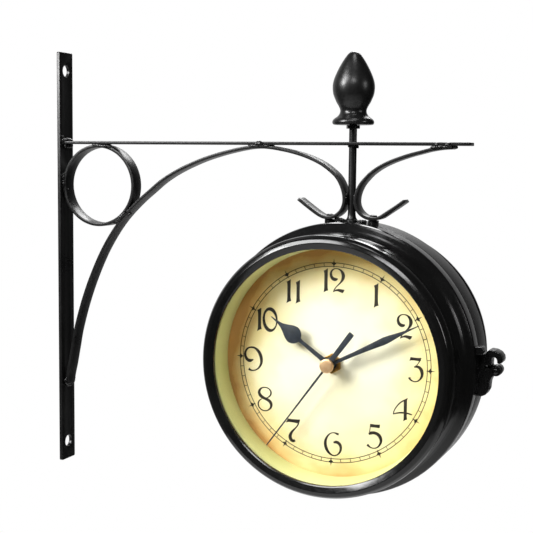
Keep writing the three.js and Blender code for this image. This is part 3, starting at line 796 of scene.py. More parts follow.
# weld beads, where the strips meet
W = [
    ("weld_ring_arm", bead([(31, -5.4, -0.9), (37, -6.3, -1.0), (44, -6.4, -1.6), (48.5, -6.0, -2.3), (51.0, -5.4, -3.0)], 1.35, 1.0)),
    ("weld_ring_arm_lump", bead([(44.5, -6.6, -1.5), (47.0, -6.4, -2.2)], 1.7, 1.4)),
    ("weld_ring_arm_back", bead([(31, 5.6, -0.9), (44, 5.7, -0.9)], 1.0, 1.7)),
    ("weld_ring_plate", bead([(4.0, -5.8, -24), (3.7, -6.6, -29), (3.9, -6.4, -34), (4.0, -5.8, -40)], 1.35, 2.0)),
    ("weld_ring_plate_lump", bead([(4.4, -4.6, -38), (5.0, -2.0, -40.5), (4.8, 2.0, -40.5)], 1.8, 2.3)),
    ("weld_ring_plate_spatter", bead([(3.0, -7.6, -25.5), (3.1, -8.0, -27.5)], 0.9, 2.4)),
    ("weld_ring_plate_back", bead([(3.6, 5.8, -28), (3.6, 5.8, -41)], 1.0, 2.6)),
    ("weld_ring_brace", bead([(52.0, -5.6, -66.3), (56.0, -6.3, -63.4), (60.5, -6.3, -59.4), (65.5, -5.6, -54.6)], 1.55, 3.0)),
    ("weld_ring_brace_lump", bead([(62.2, -6.6, -56.6), (64.6, -6.4, -54.4)], 1.5, 3.2)),
    ("weld_brace_under", bead([(65.0, -4.4, -59.5), (68.2, -4.6, -56.6)], 1.4, 3.3)),
    ("weld_ring_brace_back", bead([(53.5, 5.9, -65.2), (64.5, 5.8, -56.2)], 1.1, 3.4)),
    ("weld_arm_plate", bead([(3.9, -6.6, -0.4), (3.6, -7.4, 2.6), (3.7, -2.5, 3.7), (3.7, 2.5, 3.7), (3.5, 7.2, 2.9), (3.7, 6.6, 0.2)], 1.5, 4.0)),
    ("weld_arm_plate_lump", bead([(3.6, -8.2, 4.4), (4.0, -6.8, 3.2), (4.6, -6.2, 2.2)], 1.5, 4.2)),
    ("weld_arm_plate_spatter", bead([(3.0, -8.0, 7.2), (3.1, -6.8, 5.8)], 1.0, 4.3)),
    ("weld_arm_plate_under", bead([(4.4, -6.5, -1.2), (4.6, 0, -1.6), (4.4, 6.5, -1.2)], 1.9, 4.4)),
    ("weld_brace_plate", bead([(5.4, -6.1, -200), (4.6, -6.4, -205), (4.2, -2, -207.9), (4.2, 2, -207.9), (4.6, 6.4, -205), (5.4, 6.1, -200)], 1.3, 5.0)),
    ("weld_brace_plate_lump", bead([(5.2, -6.4, -201.5), (4.9, -6.6, -204.5)], 1.7, 5.3)),
    ("weld_brace_arm", bead([(174.5, -6.3, -0.6), (184, -6.6, -0.4), (193.5, -6.2, -0.9)], 1.0, 6.0)),
    ("weld_brace_arm_lump", bead([(181.5, -7.0, 0.6), (185.0, -7.2, 1.2), (188.0, -6.9, 0.4)], 1.9, 6.2)),
    ("weld_brace_arm_back", bead([(175.5, 6.2, -0.5), (192.5, 6.2, -0.6)], 0.9, 6.5)),
    ("weld_outer_arm", bead([(322, -6.2, -1.6), (327, -6.7, -0.8), (332, -6.6, -0.9), (338.8, -6.3, -0.4)], 1.35, 7.0)),
    ("weld_outer_arm_lump", bead([(325.5, -7.0, 0.4), (328.5, -7.2, 1.0)], 1.6, 7.2)),
    ("weld_outer_arm_lump_b", bead([(333.5, -7.0, 0.6), (337.5, -7.0, 1.2)], 1.5, 7.3)),
    ("weld_outer_arm_end", bead([(339.2, -5.8, -1.0), (339.6, 5.8, -1.0)], 1.2, 7.4)),
    ("weld_outer_arm_back", bead([(324, 6.2, -1.3), (338.8, 6.2, -0.4)], 0.9, 7.8)),
    ("weld_rod_left", bead([(256.4, -4.2, -36.5), (256.3, -4.4, -41), (256.4, -4.0, -46)], 1.1, 8.0)),
    ("weld_rod_right", bead([(263.1, -4.2, -37), (263.2, -4.4, -42), (263.1, -4.0, -46.5)], 1.1, 8.5)),
    ("weld_rod_left_back", bead([(256.4, 4.2, -36.5), (256.4, 4.0, -46)], 1.1, 8.8)),
    ("weld_rod_right_back", bead([(263.1, 4.2, -37), (263.1, 4.0, -46.5)], 1.1, 9.1)),
    ("weld_foot_left", bead([(246.2, -2.0, -57.4), (249.5, -2.5, -56.9), (252.4, -2.0, -57.2), (254.8, -1.5, -57.9)], 1.55, 9.2)),
    ("weld_foot_right", bead([(273.0, -2.0, -58.4), (269.6, -2.5, -57.9), (266.6, -2.0, -57.9), (264.4, -1.5, -58.0)], 1.25, 9.3)),
    ("weld_rod_arm", bead([(XC + 3.0 * math.cos(a), 3.0 * math.sin(a), -0.5) for a in [math.radians(d) for d in range(0, 361, 24)]], 1.05, 9.5)),
    ("weld_rod_arm_gusset", bead([(XC + 3.4, -2.0, -1.2), (XC + 5.6, -2.0, -0.9)], 1.3, 9.7)),
    ("weld_rod_case", bead([(XC + 4.6 * math.cos(a), 4.6 * math.sin(a), -58.0) for a in [math.radians(d) for d in range(0, 361, 24)]], 1.15, 10.0)),
]
for name, part in W:
    finish_mesh(name, *part, M_WELD, "root", slot="black_iron", angle=60)


def domed_screw(r, h, depth, slot_w=0.7, slot_d=0.7, n=48):
    """Round slotted head on z = 0 with its shank below."""
    prof = [(0, -depth), (r * 0.5, -depth), (r * 0.5, 0), (r * 0.93, 0), (r, 0.12 * h), (r * 0.98, 0.3 * h)]
    prof += [(r * math.cos(a), 0.3 * h + 0.7 * h * math.sin(a)) for a in [math.radians(d) for d in (12, 25, 38, 51, 64, 77)]] + [(0, h)]
    return lathe_data(prof, n, False)


for name, s in (("left", -1), ("right", 1)):
    x = XC + s * 17.6
    top = -54.15
    obj = finish_mesh(f"foot_screw_{name}_head", *domed_screw(2.8, 1.5, 9.5), M_FIT, "root", f"foot_screw_{name}", "black_iron", matrix=Matrix.Translation((x, 0, top)))
    rot = Matrix.Translation((x, 0, top)) @ Matrix.Rotation(math.radians(35 * s), 4, "Z")
    cut(obj, [moved(box_data(-4, 4, -0.38, 0.38, 0.9, 4), rot)])
    nut = plate_data(fillet([(p[0], p[1], 0.5) for p in circle(4.3, 6, start=math.pi / 6)], 3), [], -61.6, -57.0, 0.35, 2)
    obj = finish_mesh(f"foot_nut_{name}_block", *nut, M_FIT, "root", f"foot_nut_{name}", "black_iron", matrix=Matrix.Translation((x, 0, 0)))
    cyl = moved(lathe_data([(0, -30), (105.25, -30), (105.25, 30), (0, 30)], 256, False), Matrix.Translation((XH, 0, ZC)) @ Matrix.Rotation(math.radians(90), 4, "X"))
    cut(obj, [cyl])


# ------------------------------------------------------------------ hinge
HX = XH - 109.0


def arc_strip(r_mid, z0, z1, left=True, n=24):
    """Centreline on the side of the case between two heights, bottom to top."""
    out = []
    for i in range(n):
        z = z0 + (z1 - z0) * i / (n - 1)
        d = math.sqrt(r_mid**2 - (z - ZC) ** 2)
        out.append((XH - d if left else XH + d, z))
    return out


def round_widths(centre, half, r=2.0):
    """Narrows a strip at its ends, for rounded corners."""
    out = []
    z0, z1 = centre[0][1], centre[-1][1]
    for x, z in centre:
        d = min(z - z0, z1 - z)
        out.append(half if d >= r else half - (r - math.sqrt(max(0.0, r * r - (r - d) ** 2))))
    return out


def leaf_plate(y0, y1, z0, z1, r=2.0):
    c = arc_strip(106.05, z0, z1, n=30)
    half = (y1 - y0) / 2
    return strip_data(c, 0.55, half, 0.25, y_mid=(y0 + y1) / 2, widths=round_widths(c, half, r), end=0.2)


def barrel(z0, z1, r=2.5, n=48):
    prof = [(0, z0), (r - 0.35, z0), (r - 0.1, z0 + 0.1), (r, z0 + 0.35), (r, z1 - 0.35), (r - 0.1, z1 - 0.1), (r - 0.35, z1), (0, z1)]
    return moved(lathe_data(prof, n, False), Matrix.Translation((HX, SEAM, 0)))


def tab(y0, y1, z0, z1):
    c = [(HX + 0.3 + (3.7 - 0.3) * i / 6, (z0 + z1) / 2) for i in range(7)]
    return strip_data([(x, z) for x, z in c], (z1 - z0) / 2, (y1 - y0) / 2, 0.2, y_mid=(y0 + y1) / 2, end=0.15)


fixed = [leaf_plate(-3.2, 7.4, ZC - 19.9, ZC + 19.9), leaf_plate(-6.4, -3.0, ZC - 6.0, ZC + 6.0, 0.4), barrel(ZC - 6.1, ZC + 6.1), tab(-6.45, -4.8, ZC - 6.0, ZC + 6.0)]
finish_mesh("hinge_leaf_fixed_plate", *join(fixed), M_FIT, "root", "hinge_leaf_fixed", "black_fittings")
door = [leaf_plate(-17.7, -10.5, ZC - 19.9, ZC + 19.9)]
for a, b in ((6.6, 19.9), (-19.9, -6.6)):
    door += [leaf_plate(-10.7, -7.6, ZC + a, ZC + b, 0.4), barrel(ZC + a - 0.05, ZC + b), tab(-9.2, -7.55, ZC + a, ZC + b)]
finish_mesh("hinge_leaf_door_plate", *join(door), M_FIT, "door", "hinge_leaf_door", "black_fittings")
pin = [(0, -21.6), (1.3, -21.6), (1.9, -21.35), (2.1, -20.9), (2.05, -20.35), (1.2, -20.3), (1.2, 20.3), (2.05, 20.35), (2.1, 20.9), (1.9, 21.35), (1.3, 21.6), (0, 21.6)]
finish_mesh("hinge_pin_rivet", *lathe_data(pin, 36, False), M_DARKSTEEL, "root", "hinge_pin", "steel_pin", matrix=Matrix.Translation((HX, SEAM, ZC)))


def screw_on_case(name, y, z, body, left=True, r=1.7, h=0.9, turn=20.0, slot="black_fittings", lift=106.6):
    """A small round-head screw standing off the side of the case."""
    dz = z - ZC
    a = math.atan2(dz, -math.sqrt(lift**2 - dz**2) if left else math.sqrt(lift**2 - dz**2))
    out = Vector((math.cos(a), 0, math.sin(a)))
    pos = Vector((XH, y, ZC)) + out * lift
    q = Vector((0, 0, 1)).rotation_difference(out).to_matrix().to_4x4()
    M = Matrix.Translation(pos) @ q @ Matrix.Rotation(math.radians(turn), 4, "Z")
    obj = finish_mesh(name, *domed_screw(r, h, 1.6), M_FIT, body, slot=slot, matrix=M)
    cut(obj, [moved(box_data(-3, 3, -0.24, 0.24, 0.45, 3), M)])


for i, (y, dz, body) in enumerate(((3.2, 12.5, "root"), (3.2, -12.5, "root"), (-14.2, 12.5, "door"), (-14.2, -12.5, "door"))):
    screw_on_case(f"hinge_screw_{i + 1}", y, ZC + dz, body, turn=25 + 40 * i)

# ------------------------------------------------------------------ latch
LX, LZ = 375.2, -165.0


def profile_y(points, y0, y1, bevel=0.35, holes=()):
    """A side outline in (x, z) raised along Y, edges rounded."""
    v, f = plate_data(points, holes, -y1, -y0, bevel, 3)
    return [(a, -c, b) for a, b, c in v], f


def case_core(r):
    return moved(lathe_data([(0, -70), (r, -70), (r, 70), (0, 70)], 256, False), Matrix.Translation((XH, 0, ZC)) @ Matrix.Rotation(math.radians(90), 4, "X"))


keeper = profile_y(fillet([(361.5, -151.6, 0), (366.9, -151.6, 0.9), (367.8, -150.6, 0.6), (367.8, -147.5, 0.8), (366.4, -146.3, 0.8), (361.5, -146.3, 0)], 4), -17.9, -7.5, 0.3)
obj = finish_mesh("latch_keeper_plate", *keeper, M_FIT, "door", "latch_keeper", "black_fittings")
cut(obj, [case_core(105.4)])

ears = [(LX + 3.9 * math.cos(math.radians(a)), LZ + 3.9 * math.sin(math.radians(a)), 0) for a in range(-110, 71, 10)]
base = fillet([(361.0, -184.8, 0), (365.0, -184.8, 1.6), (368.2, -183.4, 2), (370.1, -179.6, 3), (370.7, -173.6, 3), (372.0, -170.4, 1.5)] + ears + [(372.6, -162.4, 0.5), (369.4, -163.2, 1.0), (366.4, -164.0, 0.8), (361.0, -164.0, 0)], 4)
body_part = profile_y(base, -6.2, 6.4, 0.45)
back_tab = profile_y(fillet([(362.7, -165.0, 0.2), (367.0, -165.0, 0.4), (367.0, -152.8, 1.0), (362.7, -152.8, 0.2)], 4), -6.2, 6.4, 0.3)
obj = finish_mesh("latch_base_block", *body_part, M_FIT, "root", "latch_base", "black_fittings")
slot_cyl = moved(lathe_data([(0, -3.3), (4.75, -3.3), (4.75, 3.3), (0, 3.3)], 64, False), Matrix.Translation((LX, 0, LZ)) @ Matrix.Rotation(math.radians(90), 4, "X"))
cut(obj, [case_core(105.4), slot_cyl, box_data(366.2, 385, -3.3, 3.3, -166.2, -158), box_data(370, 385, -3.3, 3.3, -169.5, -158)])

finish_mesh("latch_base_tab", *back_tab, M_FIT, "root", "latch_base", "black_fittings")
screw_on_case("latch_screw_upper", 0.1, -155.6, "root", left=False, r=1.5, h=0.9, turn=35, lift=109.0)
screw_on_case("latch_screw_lower", 0.1, -179.0, "root", left=False, r=1.5, h=0.9, turn=-20, lift=113.0)

lever = fillet(
    [
        (368.2, -160.4, 0.2), (368.2, -152.6, 2), (369.0, -150.3, 2), (371.0, -148.95, 2), (375.0, -149.3, 3), (378.4, -150.9, 3), (380.5, -153.5, 2.5), (380.85, -156.2, 2.5),
        (380.2, -158.2, 1.4), (378.4, -158.85, 1.2), (376.95, -158.2, 0.8), (376.8, -156.4, 1.2), (376.0, -154.6, 1.2), (374.6, -153.95, 1.0), (373.2, -154.7, 1.2), (372.4, -156.6, 2), (372.2, -160.4, 0.2),
    ],
    4,
)
wide = profile_y(lever, -10.4, 2.85, 0.5)
lower = profile_y(fillet([(368.2, -159.5, 0.2), (368.2, -162.0, 1.5), (369.0, -164.0, 1.5), (370.8, -165.8, 1), (374.4, -166.6, 0.4), (374.4, -162.6, 0.4), (372.2, -161.2, 1.0), (372.2, -159.5, 0.2)], 4), -2.85, 2.85, 0.4)
eye = moved(lathe_data([(1.3, -2.85), (3.7, -2.85), (4.0, -2.7), (4.1, -2.4), (4.1, 2.4), (4.0, 2.7), (3.7, 2.85), (1.3, 2.85)], 56, True), Matrix.Translation((LX, 0, LZ)) @ Matrix.Rotation(math.radians(90), 4, "X"))
finish_mesh("latch_hook_lever", *join([wide, lower, eye]), M_FIT, "latch", "latch_hook", "black_fittings")
lp = [(0, -7.2), (1.0, -7.2), (1.2, -7.0), (1.2, 6.4), (2.1, 6.45), (2.3, 6.7), (2.2, 7.2), (1.7, 7.65), (0.9, 7.85), (0, 7.9)]
finish_mesh("latch_pin_rivet", *lathe_data(lp, 36, False), M_FIT, "root", "latch_pin", "steel_pin", matrix=Matrix.Translation((LX, 0, LZ)) @ Matrix.Rotation(math.radians(90), 4, "X"))
screw_on_case("keeper_screw", -15.4, -149.0, "door", left=False, r=1.5, h=0.8, turn=70, lift=107.2)

# ------------------------------------------------------------------ numbers on the dial
ONE = fillet(
    [(-2.05, 7.1, 0.3), (-0.5, 7.9, 1.0), (1.5, 9.2, 0.15), (1.4, 7.0, 3), (1.3, 0, 20), (1.4, -5.4, 6), (1.95, -7.5, 0.3), (0.5, -7.9, 2), (-0.9, -8.6, 2), (-1.95, -9.5, 0.15), (-1.5, -7.4, 3), (-1.3, -5.0, 6), (-1.3, 0, 20), (-1.35, 5.6, 3)],
    4,
)
TWO_STROKE = [
    (0.3, 1.2, 0.7), (-0.8, 0.7, 2.0), (-2.3, 0.6, 2.6), (-4.1, 1.6, 2.4), (-5.1, 3.7, 2.1), (-4.9, 6.1, 1.6), (-3.4, 8.0, 1.0), (-1.0, 8.7, 0.75), (1.5, 8.2, 1.1), (3.5, 6.5, 2.0),
    (4.6, 3.9, 2.7), (4.3, 1.3, 2.3), (3.1, -0.9, 1.5), (1.3, -2.9, 1.0), (-0.6, -4.8, 0.8), (-2.1, -6.8, 0.8), (-3.2, -8.9, 0.5),
]
TWO_BASE = fillet(
    [(-3.55, -9.5, 0.1), (-2.7, -8.0, 1), (-1.0, -6.9, 2), (1.1, -6.35, 3), (3.5, -6.6, 4), (5.9, -6.9, 0.1), (5.2, -8.4, 1), (4.2, -9.6, 0.3), (2.4, -8.9, 3), (0.4, -8.2, 3), (-1.5, -8.4, 3)], 4
)
THREE_BAR = fillet([(-4.9, 6.1, 0.1), (-4.1, 9.1, 0.3), (0, 8.9, 5), (4.2, 9.1, 0.15), (3.7, 7.5, 0.6), (2.5, 6.5, 0.4), (-1, 6.75, 5), (-3.6, 6.7, 0.6)], 4)
THREE_NECK = [(3.6, 7.6, 0.8), (2.0, 5.2, 0.65), (0.6, 3.2, 0.6)]
THREE_BOWL = [
    (-1.3, 1.7, 0.7), (0.1, 2.3, 1.7), (1.8, 2.2, 2.0), (3.6, 0.9, 2.5), (4.7, -1.4, 2.5), (4.8, -3.9, 2.0), (3.8, -6.3, 1.45), (2.0, -8.1, 1.0), (-0.3, -8.9, 0.8), (-2.8, -8.3, 1.0), (-4.3, -7.1, 1.5), (-4.8, -6.0, 1.9),
]
FOUR_STEM = fillet([(0.1, 7.3, 0.3), (1.8, 8.2, 1.0), (3.7, 9.4, 0.15), (3.0, 7.4, 2), (3.0, 0, 20), (3.0, -5.0, 6), (3.4, -7.1, 0.3), (1.8, -7.6, 2), (0.2, -8.8, 0.15), (0.6, -6.8, 3), (0.55, 0, 20), (0.5, 5.8, 3)], 4)
FOUR_CURVE = [(0.6, 7.0, 1.0), (-1.4, 5.7, 1.0), (-3.7, 3.5, 0.95), (-5.6, 0.9, 0.9), (-6.8, -1.6, 0.8), (-7.3, -3.7, 0.75)]
FOUR_CROSS = [(-7.5, -4.0, 0.6), (-5.4, -3.2, 0.95), (-2.6, -2.5, 1.2), (0.5, -2.25, 1.35), (3.6, -2.4, 1.2), (6.0, -2.9, 1.1), (6.9, -3.1, 0.9)]
FIVE_BAR = fillet([(-4.5, 7.1, 0.1), (-4.2, 9.5, 0.2), (0, 9.3, 5), (3.5, 9.6, 0.15), (3.4, 8.2, 0.6), (3.1, 6.8, 0.3), (0, 7.0, 5), (-3.7, 7.0, 0.3)], 4)
FIVE_NECK = [(-4.05, 7.5, 0.6), (-4.3, 5.2, 0.6), (-4.55, 3.2, 0.7)]
FIVE_BOWL = [
    (-5.1, 1.4, 1.2), (-4.0, 2.3, 2.2), (-1.8, 2.9, 2.3), (0.7, 2.6, 2.4), (2.9, 1.2, 2.6), (4.2, -1.1, 2.4), (4.3, -3.7, 1.9), (3.2, -6.2, 1.4), (1.2, -8.1, 1.0), (-1.4, -8.8, 0.8), (-3.8, -8.3, 1.1), (-5.3, -7.3, 1.7), (-6.2, -6.5, 2.0),
]
SIX = [
    (4.7, 8.1, 1.7), (3.2, 8.4, 1.6), (1.6, 8.9, 1.0), (-0.4, 8.8, 0.75), (-2.6, 7.7, 1.0), (-4.6, 5.3, 1.5), (-5.8, 2.2, 2.1), (-5.9, -0.8, 2.4), (-5.0, -3.8, 2.4), (-3.4, -6.3, 2.0), (-1.1, -8.1, 1.3), (1.5, -8.6, 0.95),
    (4.1, -7.5, 1.1), (5.9, -5.2, 1.6), (6.5, -2.5, 2.0), (5.9, 0.0, 2.4), (4.2, 1.6, 2.4), (2.2, 1.9, 2.1), (0.6, 1.3, 1.4),
]
SEVEN_BAR = fillet([(-5.9, 5.6, 0.1), (-4.2, 9.0, 0.3), (0, 8.8, 6), (5.9, 9.1, 0.15), (5.5, 7.3, 1.0), (4.5, 5.9, 0.4), (0, 6.3, 6), (-3.6, 6.4, 1.5)], 4)
SEVEN_STROKE = [(4.7, 6.3, 1.1), (3.6, 4.0, 1.0), (1.9, 1.9, 1.1), (0.1, 0.0, 1.5), (-1.4, -2.1, 2.1), (-2.2, -4.4, 2.7), (-1.9, -6.4, 2.7), (-0.7, -7.8, 2.4), (0.8, -8.0, 2.2), (1.8, -7.4, 1.8)]
EIGHT = [
    (-2.7, 0.2, 0.7), (-4.6, -1.2, 0.9), (-5.7, -3.3, 1.1), (-5.4, -5.8, 1.0), (-3.5, -8.0, 0.9), (-0.6, -9.0, 0.9), (2.4, -8.4, 1.0), (4.6, -6.4, 1.6), (5.2, -3.7, 2.3), (4.0, -1.4, 2.6), (1.6, 0.0, 2.4),
    (-0.9, 0.9, 2.3), (-3.4, 2.3, 2.6), (-5.0, 4.6, 2.4), (-4.5, 7.1, 1.8), (-2.6, 8.8, 1.1), (0.0, 9.3, 0.9), (2.5, 8.8, 0.95), (4.4, 7.2, 1.15), (4.9, 5.1, 1.35), (4.0, 3.0, 1.2), (2.0, 1.5, 0.9), (0.9, 0.8, 0.7),
]
NINE = [
    (-0.2, -0.3, 0.5), (-1.6, -0.9, 1.7), (-3.2, -1.4, 2.6), (-5.3, -0.8, 2.4), (-6.8, 1.2, 2.2), (-7.3, 3.8, 1.9), (-6.5, 6.5, 1.6), (-4.6, 8.4, 1.35), (-2.0, 9.1, 1.4), (0.8, 8.7, 1.7), (3.4, 6.9, 2.3),
    (5.3, 4.2, 2.6), (6.3, 1.0, 2.6), (6.4, -2.0, 2.2), (5.5, -4.8, 1.7), (3.6, -7.2, 1.2), (1.2, -8.6, 0.95), (-1.4, -9.0, 1.1), (-3.2, -8.6, 1.6), (-4.3, -7.9, 1.9),
]
ZERO_W = [1.3, 2.0, 2.8, 2.8, 2.0, 1.7, 2.1, 2.5, 2.9, 2.6, 1.6, 1.0]
ZERO = []
for _k in range(36):
    _a = 2 * math.pi * _k / 36
    _w = _k / 3.0
    _i = int(_w)
    _f = _w - _i
    _width = ZERO_W[_i % 12] * (1 - _f) + ZERO_W[(_i + 1) % 12] * _f
    ZERO.append(((6.25 - _width / 2) * math.cos(_a), (9.6 - _width / 2) * math.sin(_a), _width))
GLYPHS = {
    "1": [("poly", ONE)],
    "2": [("stroke", TWO_STROKE), ("poly", TWO_BASE)],
    "3": [("poly", THREE_BAR), ("stroke", THREE_NECK), ("stroke", THREE_BOWL)],
    "4": [("poly", FOUR_STEM), ("stroke", FOUR_CURVE), ("stroke", FOUR_CROSS)],
    "5": [("poly", FIVE_BAR), ("stroke", FIVE_NECK), ("stroke", FIVE_BOWL)],
    "6": [("stroke", SIX)],
    "7": [("poly", SEVEN_BAR), ("stroke", SEVEN_STROKE)],
    "8": [("stroke", EIGHT)],
    "9": [("stroke", NINE)],
    "0": [("loop", ZERO)],
}
NUMBERS = [
    ("12", (0.3, 62.5), [("1", -6.45, 0.0), ("2", 2.6, 0.5)]),
    ("1", (33.3, 53.3), [("1", 0.1, 0.0)]),
    ("2", (55.5, 31.7), [("2", 0.0, 0.0)]),
    ("3", (64.5, 0.3), [("3", 0.0, 0.0)]),
    ("4", (55.5, -30.3), [("4", 0.0, 0.0)]),
    ("5", (34.7, -52.8), [("5", 0.0, 0.0)]),
    ("6", (1.2, -62.0), [("6", 0.0, 0.0)]),
    ("7", (-31.3, -54.7), [("7", 0.0, 0.0)]),
    ("8", (-54.7, -32.5), [("8", 0.0, 0.0)]),
    ("9", (-64.5, -1.7), [("9", 0.0, 0.0)]),
    ("10", (-53.7, 30.3), [("1", -6.3, -0.7), ("0", 2.5, -0.4)]),
    ("11", (-32.0, 53.0), [("1", -3.9, -0.2), ("1", 3.6, -0.3)]),
]


def stroke_outline(points, closed=False, n=90):
    pts = catmull(points, n, closed)
    left, right = [], []
    count = len(pts)
    for i, (x, y, w) in enumerate(pts):
        a = pts[(i - 1) % count] if closed else pts[max(0, i - 1)]
        b = pts[(i + 1) % count] if closed else pts[min(count - 1, i + 1)]
        dx, dy = b[0] - a[0], b[1] - a[1]
        d = math.hypot(dx, dy) or 1.0
        nx, ny = -dy / d, dx / d
        left.append((x + nx * w / 2, y + ny * w / 2))
        right.append((x - nx * w / 2, y - ny * w / 2))
    return left, right


def ribbon(points, z0, z1, closed=False, n=90):
    """A raised band along a stroke."""
    left, right = stroke_outline(points, closed, n)
    m = len(left)
    verts = [(x, y, z1) for x, y in left] + [(x, y, z1) for x, y in right] + [(x, y, z0) for x, y in left] + [(x, y, z0) for x, y in right]
    faces = []
    for i in range(m if closed else m - 1):
        j = (i + 1) % m
        faces += [(i, j, m + j, m + i), (2 * m + i, 3 * m + i, 3 * m + j, 2 * m + j), (i, 2 * m + i, 2 * m + j, j), (m + i, m + j, 3 * m + j, 3 * m + i)]
    if not closed:
        faces += [(0, m, 3 * m, 2 * m), (m - 1, 3 * m - 1, 4 * m - 1, 2 * m - 1)]
    return verts, faces


def polygon(points, z0, z1):
    n = len(points)
    verts = [(x, y, z1) for x, y in points] + [(x, y, z0) for x, y in points]
    faces = [tuple(range(n)), tuple(range(2 * n - 1, n - 1, -1))] + [(i, i + n, (i + 1) % n + n, (i + 1) % n) for i in range(n)]
    return verts, faces


def dial_print(z0):
    parts = []
    for _, (cx, cy), glyphs in NUMBERS:
        for g, dx, dy in glyphs:
            for k, (kind, pts) in enumerate(GLYPHS[g]):
                top = z0 + 0.05 + 0.004 * k
                if kind == "poly":
                    part = polygon(pts, z0, top)
                else:
                    part = ribbon(pts, z0, top, closed=kind == "loop", n=110 if len(pts) > 6 else 24)
                parts.append(moved(part, Matrix.Translation((cx + dx, cy + dy, 0))))
    # minute track: two thin circles, a tick for each minute, a four-pointed mark for each hour
    for r, w in ((73.2, 0.56), (76.0, 0.56)):
        parts.append(lathe_data([(r - w / 2, z0), (r + w / 2, z0), (r + w / 2, z0 + 0.05), (r - w / 2, z0 + 0.05)], 240, True))
    for k in range(60):
        rot = Matrix.Rotation(-math.radians(6 * k), 4, "Z")
        if k % 5:
            parts.append(moved(box_data(-0.24, 0.24, 73.2, 76.0, z0, z0 + 0.046), rot))
        else:
            star = [(0, 79.3), (0.42, 76.6), (1.0, 75.9), (2.1, 75.4), (1.0, 74.8), (0.5, 74.2), (0, 71.9), (-0.5, 74.2), (-1.0, 74.8), (-2.1, 75.4), (-1.0, 75.9), (-0.42, 76.6)]
            parts.append(moved(polygon(star[::-1], z0, z0 + 0.058), rot))
    return join(parts)


# ------------------------------------------------------------------ clock head
SHELL_OUT = [
    (96.2, 46.75, 0.3), (95.2, 44.2, 3), (94.95, 40.5, 8), (95.25, 35.5, 12), (96.3, 30.2, 10), (98.1, 26.6, 6), (99.6, 24.6, 1.0), (100.6, 23.7, 0.7), (103.3, 21.5, 3), (104.7, 20.2, 1.4), (105.3, 18.3, 1.6),
]


def shell_profile(seam):
    lip = 0.45
    pts = SHELL_OUT + [
        (105.3, seam, lip), (104.1, seam, 0.3), (104.1, 18.1, 1.5), (98.9, 23.2, 2), (96.2, 27.5, 4), (94.6, 32.1, 0.3), (80, 32.1, 0.4), (80, 33.3, 0.4), (94.0, 33.3, 0.5), (93.8, 42, 4), (94.9, 46.75, 0.3),
    ]
    return fillet(pts, 6)


BEZEL = [
    (95.4, 46.85, 0.3), (96.4, 46.95, 0.8), (97.6, 49.3, 3), (98.25, 52.8, 4), (97.7, 56.5, 4), (95.7, 59.9, 3.5), (92.4, 61.5, 0.9), (88.6, 59.9, 0.5), (87.7, 59.3, 0.35), (87.7, 56.8, 0.2),
    (90.5, 56.8, 0.1), (90.5, 50.0, 0.5), (94.4, 46.85, 0.3),
]

HOUR = [
    (-4.9, 0.02), (-4.5, 2.0), (-3.2, 4.0), (0, 5.1), (3.2, 4.1), (4.8, 2.4), (8, 1.85), (18, 1.62), (27.6, 1.45), (29.4, 1.9), (30.2, 3.6), (31.8, 5.3), (33.8, 6.5), (36.0, 6.95), (38.4, 6.5), (41.2, 5.2), (44.2, 3.4),
    (47.0, 2.0), (50, 1.15), (54, 0.6), (57.8, 0.25), (58.1, 0.02),
]
MINUTE = [
    (-4.3, 0.02), (-4.0, 1.8), (-2.9, 3.4), (0, 4.5), (2.9, 3.5), (4.3, 1.9), (7, 1.4), (14, 1.42), (24, 1.6), (34, 2.0), (42, 2.45), (48, 2.75), (52, 2.5), (58, 1.75), (64, 1.1), (70, 0.65), (76.7, 0.22), (77.0, 0.02),
]
SECOND = [(-31.6, 0.02), (-31.55, 2.0), (-31.2, 2.15), (-20, 2.1), (-7, 2.0), (-4.6, 2.4), (-2.8, 3.4), (0, 4.0), (2.6, 3.2), (4.4, 1.3), (6, 0.95), (20, 0.8), (50, 0.55), (81.6, 0.22), (82, 0.02)]


def hand_part(stations, z0, z1, hole, crowned=0.0):
    """Outline from half widths along the hand; the ends are tight, the flanks smooth."""
    pts = [(h, r) for r, h in stations]
    dense = catmull(pts, 150)
    right = [(max(0.0, x), y) for x, y in dense]
    left = [(-x, y) for x, y in reversed(right[1:-1])]
    outline = right + left
    clean = [outline[0]]
    for p in outline[1:]:
        if math.hypot(p[0] - clean[-1][0], p[1] - clean[-1][1]) > 0.03:
            clean.append(p)
    return plate_data(clean, [circle(hole, 40)], z0, z1, 0.07, 1)


